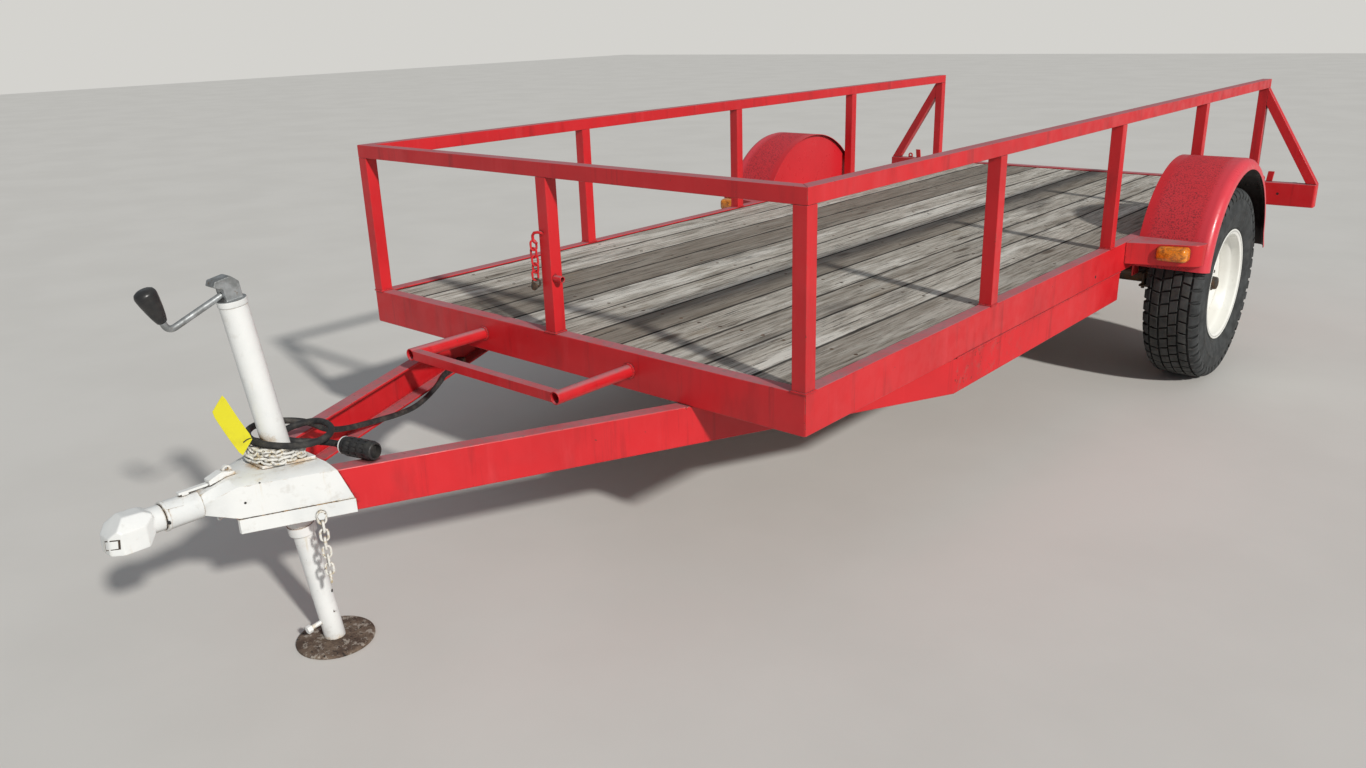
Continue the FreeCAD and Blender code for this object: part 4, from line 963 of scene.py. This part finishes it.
def add_welds(finish, seam_finish):
    """Beads on the seams that the photograph shows and on their twins on the far side."""
    beam_low, deck = (corner.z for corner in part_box("side_rail_left"))
    seam_start, tongue_end = FRONT + SIDE_SEAM_START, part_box("tongue_left")[1].y - 0.003
    posts = [(0, TUBE / 2)]
    for index in range(BAYS + 1):
        y = TUBE / 2 + index * (DECK_LENGTH - TUBE) / BAYS
        posts += [(side * (HALF_WIDTH - TUBE / 2), y) for side in (1, -1)]
    red = []
    for x, y in posts:
        ring = [Vector((x + right * POST_WELD, FRONT + y + back * POST_WELD, deck + 0.0008))
                for right, back in ((-1, -1), (1, -1), (1, 1), (-1, 1), (-1, -1))]
        red.append(weld_bead(ring, 0.0026, seed=int(abs(x * 100) + y * 10)))
    seams = []
    apex = KINK_Y - 1000 * HALF_WIDTH / tan(TONGUE_TURN)
    seam_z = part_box("coupler_strips")[0].z + COUPLER_SEAM_RISE
    for side in (1, -1):
        x = side * (HALF_WIDTH + 0.0007)
        red.append(weld_bead([Vector((x, y, beam_low)) for y in (seam_start, tongue_end)],
                             0.0024, seed=3))
        pipe = circle(at(side * PIPE_X, -1.2, PIPE_Z), Vector((1, 0, 0)), Vector((0, 0, 1)),
                      PIPE_WELD, 16)
        red.append(weld_bead(pipe + pipe[:1], 0.0036, seed=8 + side))
        out = Vector((side * cos(TONGUE_TURN), -sin(TONGUE_TURN), 0)) * COUPLER_SEAM_OUT
        seams.append(weld_bead([Vector((side * run * tan(TONGUE_TURN) / 1000,
                                        FRONT + (apex + run) / 1000, seam_z)) + out
                                for run in COUPLER_SEAM_ENDS], 0.0013, seed=21))
    add_piece("frame_welds", gathered(red), finish)
    add_piece("coupler_seams", gathered(seams), seam_finish)


def add_latch(finish, rust):
    """Hook on the middle front post, and the chain and pin that hang from it."""
    hook = [at(-4, 2, 842), at(-4, -6, 846), at(-10, -12, 848), at(-20, -15, 846), at(-27, -15, 838),
            at(-28, -14, 829), at(-24, -13, 821), at(-16, -12, 818)]
    places = []
    for index in range(LATCH_LINKS):
        centre = at(-27 - 2.0 * sin(index * 1.9), -14, 812 - index * 20.0)
        across = Vector((1, 0.4, 0)) if index % 2 else Vector((0.45, 1, 0))
        places.append((centre, Vector((0.05 * (-1) ** index, 0, -1)), across))
    links = chain_links(places, LATCH_LINK)
    add_piece("latch_chain", gathered([sweep(hook, 0.004), links]), finish)
    ring = link_path(at(-27, -14, 712), Vector((0, 0, 1)), Vector((0.9, 0.4, 0)).normalized(),
                     0.028, 0.0275, 0.005)
    knob = [(0, 0.006), (0.001, 0.01), (0.004, 0.0108), (0.006, 0.0085), (0.0068, 0.0)]
    pin = gathered([sweep(ring, 0.0026, closed=True),
                    lathe(knob, at(-28, -18, 703), Vector((0.2, -1, 0.1)), 20)])
    add_piece("latch_pin_ring", pin, rust)


def rounded_outline(width, height, corner, steps=6):
    """Closed outline of a rectangle with round corners about (0, 0)."""
    points = []
    for sx, sy, first in ((1, 1, 0), (-1, 1, 90), (-1, -1, 180), (1, -1, 270)):
        for step in range(steps + 1):
            turn = radians(first + 90 * step / steps)
            points.append((sx * (width / 2 - corner) + corner * cos(turn),
                           sy * (height / 2 - corner) + corner * sin(turn)))
    return points


def add_marker_lamps(finish, base):
    """Oblong lenses with round corners and a softly domed face, each on its thin base."""
    low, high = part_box("marker_lamps")
    depth, height = high.y - low.y - 0.0022, high.z - low.z
    lenses, bases = [], []
    # Share of the depth, how far the outline steps in, and its corner's radius
    levels = ((0.0, 0.0, 0.014), (0.3, 0.0, 0.014), (0.62, 0.0008, 0.0135),
              (0.82, 0.003, 0.012), (0.94, 0.0062, 0.01), (1.0, 0.0115, 0.007))
    for side in (1, -1):
        middle = Vector((side * (high.x - MARKER_WIDTH / 2), high.y, (low.z + high.z) / 2))
        rings = []
        for share, inset, corner in levels:
            outline = rounded_outline(MARKER_WIDTH - 2 * inset, height - 2 * inset, corner)
            rings.append([middle + Vector((x, -0.0022 - depth * share, z)) for x, z in outline])
        lenses.append(skin(rings))
        outline = rounded_outline(MARKER_WIDTH, height, 0.0145)
        bases.append(skin([[middle + Vector((x, y, z)) for x, z in outline]
                           for y in (0, -0.0024)]))
    add_piece("marker_lenses", gathered(lenses), finish, stands_for="marker_lamps")
    add_piece("marker_bases", gathered(bases), base)


def camera_axes():
    """The photograph's right, down and forward in the row frame."""
    turned = Matrix.Rotation(CAMERA_TURN.length, 3, CAMERA_TURN.normalized())
    return [Vector(row) for row in turned]


def seen_at(px, py):
    """Where the photograph's pixel meets the part, and the direction out of its surface."""
    right, down, forward = camera_axes()
    ray = right * (px - PHOTO_WIDTH / 2) + down * (py - PHOTO_HEIGHT / 2) + forward * PHOTO_FOCAL
    graph = bpy.context.evaluated_depsgraph_get()
    found = bpy.context.scene.ray_cast(graph, CAMERA_AT, ray.normalized())
    if not found[0]:
        raise SystemExit("nothing is seen at that pixel")
    return found[1], found[2]


def surface_patch(corners, lift, across=6, along=4):
    """Thin patch that lies on the part between four pixels, given round its outline."""
    a, b, c, d = (Vector(corner) for corner in corners)
    rings = []
    for row in range(along + 1):
        tops, feet = [], []
        for column in range(across + 1):
            share = column / across
            pixel = a.lerp(b, share).lerp(d.lerp(c, share), row / along)
            place, outward = seen_at(*pixel)
            tops.append(place + outward * lift)
            feet.append(place - outward * 0.0006)
        rings.append(tops + feet[::-1])
    verts, faces = skin(rings, capped=False)
    size = len(rings[0])
    return verts, faces + strip(0, size - 1) + strip(len(verts) - size, len(verts) - 1)


def add_marks(dark, seam, white, plate):
    """Dark discs and a dark sheet painted as the shade of holes and of the head's window, its block,
    and a plate.
    """
    holes = []
    # Painted shade: dark discs stand on the surface where holes are
    for px, py, radius in SEEN_HOLES:
        holes.append(lathe([(-0.0012, radius), (0.0003, radius), (0.0006, radius * 0.92),
                            (0.0004, radius * 0.8), (0.0003, 0.0)], *seen_at(px, py), 20))
    # Painted shade: a dark sheet in the head's window round its block, in place of the recess
    window = surface_patch(SEEN_WINDOW, 0.0003)
    block = surface_patch(SEEN_BLOCK, 0.0006)
    label = surface_patch(SEEN_PLATE, 0.0006)
    add_piece("hole_shade_discs", gathered(holes), dark)
    add_piece("head_window_shade", window, seam)
    add_piece("head_block", block, white)
    add_piece("blank_plate", label, plate)


def add_deck_screws(finish):
    """Low screw heads over each crossmember, two in each plank."""
    low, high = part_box("deck_planks")
    pitch = (high.x - low.x + PLANK_GAP) / PLANKS
    first, last = MEMBER_INSET, DECK_LENGTH - REAR_BEAM - MEMBER_INSET
    parts = []
    for row in range(MEMBERS):
        y = FRONT + first + (last - first) * row / (MEMBERS - 1) + MEMBER_MIDDLE
        for plank in range(PLANKS):
            for share in (0.24, 0.76):
                wobble = 0.004 * sin(plank * 3.1 + row * 1.7 + share * 9)
                place = Vector((low.x + plank * pitch + share * (pitch - PLANK_GAP), y + wobble,
                                high.z - 0.0007))
                parts.append(lathe([(0, 0.006), (0.001, 0.0056), (0.0013, 0.003),
                                    (0.0006, 0.0)], place, Vector((0, 0, 1)), 10))
    add_piece("deck_screws", gathered(parts), finish)


def leaning(degrees):
    """Up along a lean towards the front, and forward across it."""
    turn = radians(degrees)
    return (Vector((0, -sin(turn), cos(turn))),
            Vector((0, -cos(turn), -sin(turn))))


def jack_top():
    """The middle of the jack tube's top end."""
    run = JACK_RISE * tan(radians(JACK_LEAN))
    return at(0, JACK_Y - run, COUPLER_TOP + JACK_RISE)


def add_crank(finish, grip_finish):
    """The crank's rod, out of the casting and down to a smooth bend, and the grip on its end."""
    up, forward = leaning(JACK_LEAN)
    grip_up = leaning(JACK_LEAN + GRIP_LEAN)[0]
    start = jack_top() + forward * CRANK_START + up * CRANK_START_RISE
    elbow = jack_top() + forward * CRANK_RADIUS - up * CRANK_DROP
    bend = elbow + (start - elbow).normalized() * CRANK_BEND, elbow + grip_up * CRANK_BEND
    path = between(start, bend[0], 0.008)
    for step in range(1, 9):
        share = step / 9
        path.append(bend[0] * (1 - share) ** 2 + elbow * 2 * share * (1 - share)
                    + bend[1] * share ** 2)
    path += [bend[1], elbow + grip_up * (CRANK_RISE + 0.004)]
    add_piece("crank_rod", sweep(path, CRANK_ROD, 20), finish, stands_for="crank_arm")
    profile = [(0.0, 0.0082), (0.0015, 0.01), (0.012, 0.0132), (0.03, 0.0172), (0.048, 0.0202),
               (0.06, 0.0216), (0.0645, 0.0212), (0.0692, 0.019), (0.0722, 0.014), (0.073, 0.0)]
    add_piece("grip", lathe(profile, elbow + grip_up * CRANK_RISE, grip_up, 40), grip_finish,
              stands_for="crank_grip")


def add_camera():
    data = settled(bpy.data.cameras.new("photo_camera"), sensor_width=SENSOR_WIDTH,
                   lens=PHOTO_FOCAL * SENSOR_WIDTH / PHOTO_WIDTH)
    camera = placed("photo_camera", data)
    right, down, forward = camera_axes()
    axes = Matrix((right, -down, -forward)).transposed()
    camera.matrix_world = Matrix.Translation(CAMERA_AT) @ axes.to_4x4()
    bpy.context.scene.camera = camera


def add_floor():
    mesh = bpy.data.meshes.new("floor")
    reach = 30.0
    corners = [(-reach, -reach, 0), (reach, -reach, 0), (reach, reach, 0), (-reach, reach, 0)]
    mesh.from_pydata(corners, [], [(0, 1, 2, 3)])
    mesh.materials.append(pale_floor())
    placed("floor", mesh)


def add_lights():
    """Soft light from all round, a pale backdrop, and a broad lamp where the sun stood."""
    world = bpy.data.worlds.new("studio")
    bpy.context.scene.world = world
    world.use_nodes = True
    nodes, links = world.node_tree.nodes, world.node_tree.links
    background = nodes["Background"]
    background.inputs["Color"].default_value = (0.88, 0.94, 1.0, 1.0)
    background.inputs["Strength"].default_value = 0.31
    backdrop = nodes.new("ShaderNodeBackground")
    backdrop.inputs["Color"].default_value = (0.66, 0.65, 0.62, 1.0)
    path = nodes.new("ShaderNodeLightPath")
    either = nodes.new("ShaderNodeMixShader")
    links.new(path.outputs["Is Camera Ray"], either.inputs[0])
    links.new(background.outputs[0], either.inputs[1])
    links.new(backdrop.outputs[0], either.inputs[2])
    links.new(either.outputs[0], nodes["World Output"].inputs["Surface"])
    sun = settled(bpy.data.lights.new("sun", "SUN"), energy=3.0, color=(1.0, 0.97, 0.92),
                  angle=radians(3.0))
    placed("sun", sun).rotation_euler = TO_SUN.to_track_quat("Z", "Y").to_euler()


def dress_nodes(red, white, rust):
    """Every CAD node that stays gets its finish and its rounded edges."""
    fender = fender_paint()
    # Edge's radius, steps round it, finish, nodes
    for width, segments, finish, nodes in (
            (0.003, 2, red, ("front_beam", "side_rail_left", "side_rail_right", "rear_beam",
                             "tongue_left", "tongue_right")),
            (0.0018, 2, red, ("rail_posts", "top_rail_front", "top_rail_left", "top_rail_right",
                              "rail_braces", "ramp_lugs", "rack_bar", "rack_pipes",
                              "crossmembers", "spring_hangers", "latch_tube")),
            (0.0035, 3, red, ("fender_brackets",)),
            (0.0008, 1, fender, ("fender_left", "fender_right")),
            (0.003, 3, white, ("coupler_body", "coupler_strips", "jack_base", "coupler_latch")),
            (0.0015, 2, white, ("coupler_barrel", "jack_tube")),
            (0.0015, 2, white_paint("leg_paint", 1.0, 0.075), ("jack_leg",)),
            (0.0025, 2, weathered_timber(), ("deck_planks",)),
            (0.004, 3, lens("red_lens", (0.55, 0.02, 0.015), (0.22, 0.01, 0.01)),
             ("tail_lamps",)),
            (0.0012, 2, rust, ("axle_beam", "leaf_springs", "spring_clamps", "cable_clip")),
            (0.0015, 2, dirty_foot(), ("jack_foot",))):
        for node in nodes:
            soften(node, width, segments, finish)
    cast_surface("coupler_head", 0.0016, 14, white)
    cast_surface("jack_cap", 0.0012, 9, jack_top_finish())


def main():
    add_camera()
    red = red_paint()
    white = white_paint()
    rust = rusty_steel()
    black = dusty_black("black_plastic", 0.35, 0.5)
    chain = rusty_white()
    seam = seam_rust()
    add_cable(dusty_black("cable_rubber", 0.65, 0.72), black, white_paint("plug_ring_paint", 0.3))
    dress_nodes(red, white, rust)
    add_marker_lamps(lens("amber_lens", (0.9, 0.29, 0.01), (0.36, 0.11, 0.006)), black)
    rubber = tyre_rubber()
    paint = rim_paint()
    hub_rust = rusty_steel("hub_rust", 0.15, 0.3)
    for side, name in ((1, "left"), (-1, "right")):
        add_tyre(side, name, rubber)
        add_wheel(side, name, paint, hub_rust)
    add_piece("safety_chain_end", hanging_chain(), chain, stands_for="hanging_chain")
    add_piece("safety_chain_heap", heaped_chain(), chain, stands_for="heaped_chain")
    add_tag(tag_plastic(), black)
    add_welds(red, seam)
    add_latch(red, rust)
    add_deck_screws(rust)
    add_crank(zinc_plate(), dusty_black("grip_plastic", 0.2, 0.38))
    # Painted shade: the black finish of the hole discs
    add_marks(dusty_black("hole_shade_black", 0.1, 0.9), seam, white_paint("block_paint", 0.6),
              white_paint("plate_paint", 0.3))
    add_floor()
    add_lights()
    bpy.context.scene.view_settings.view_transform = "Standard"


main()
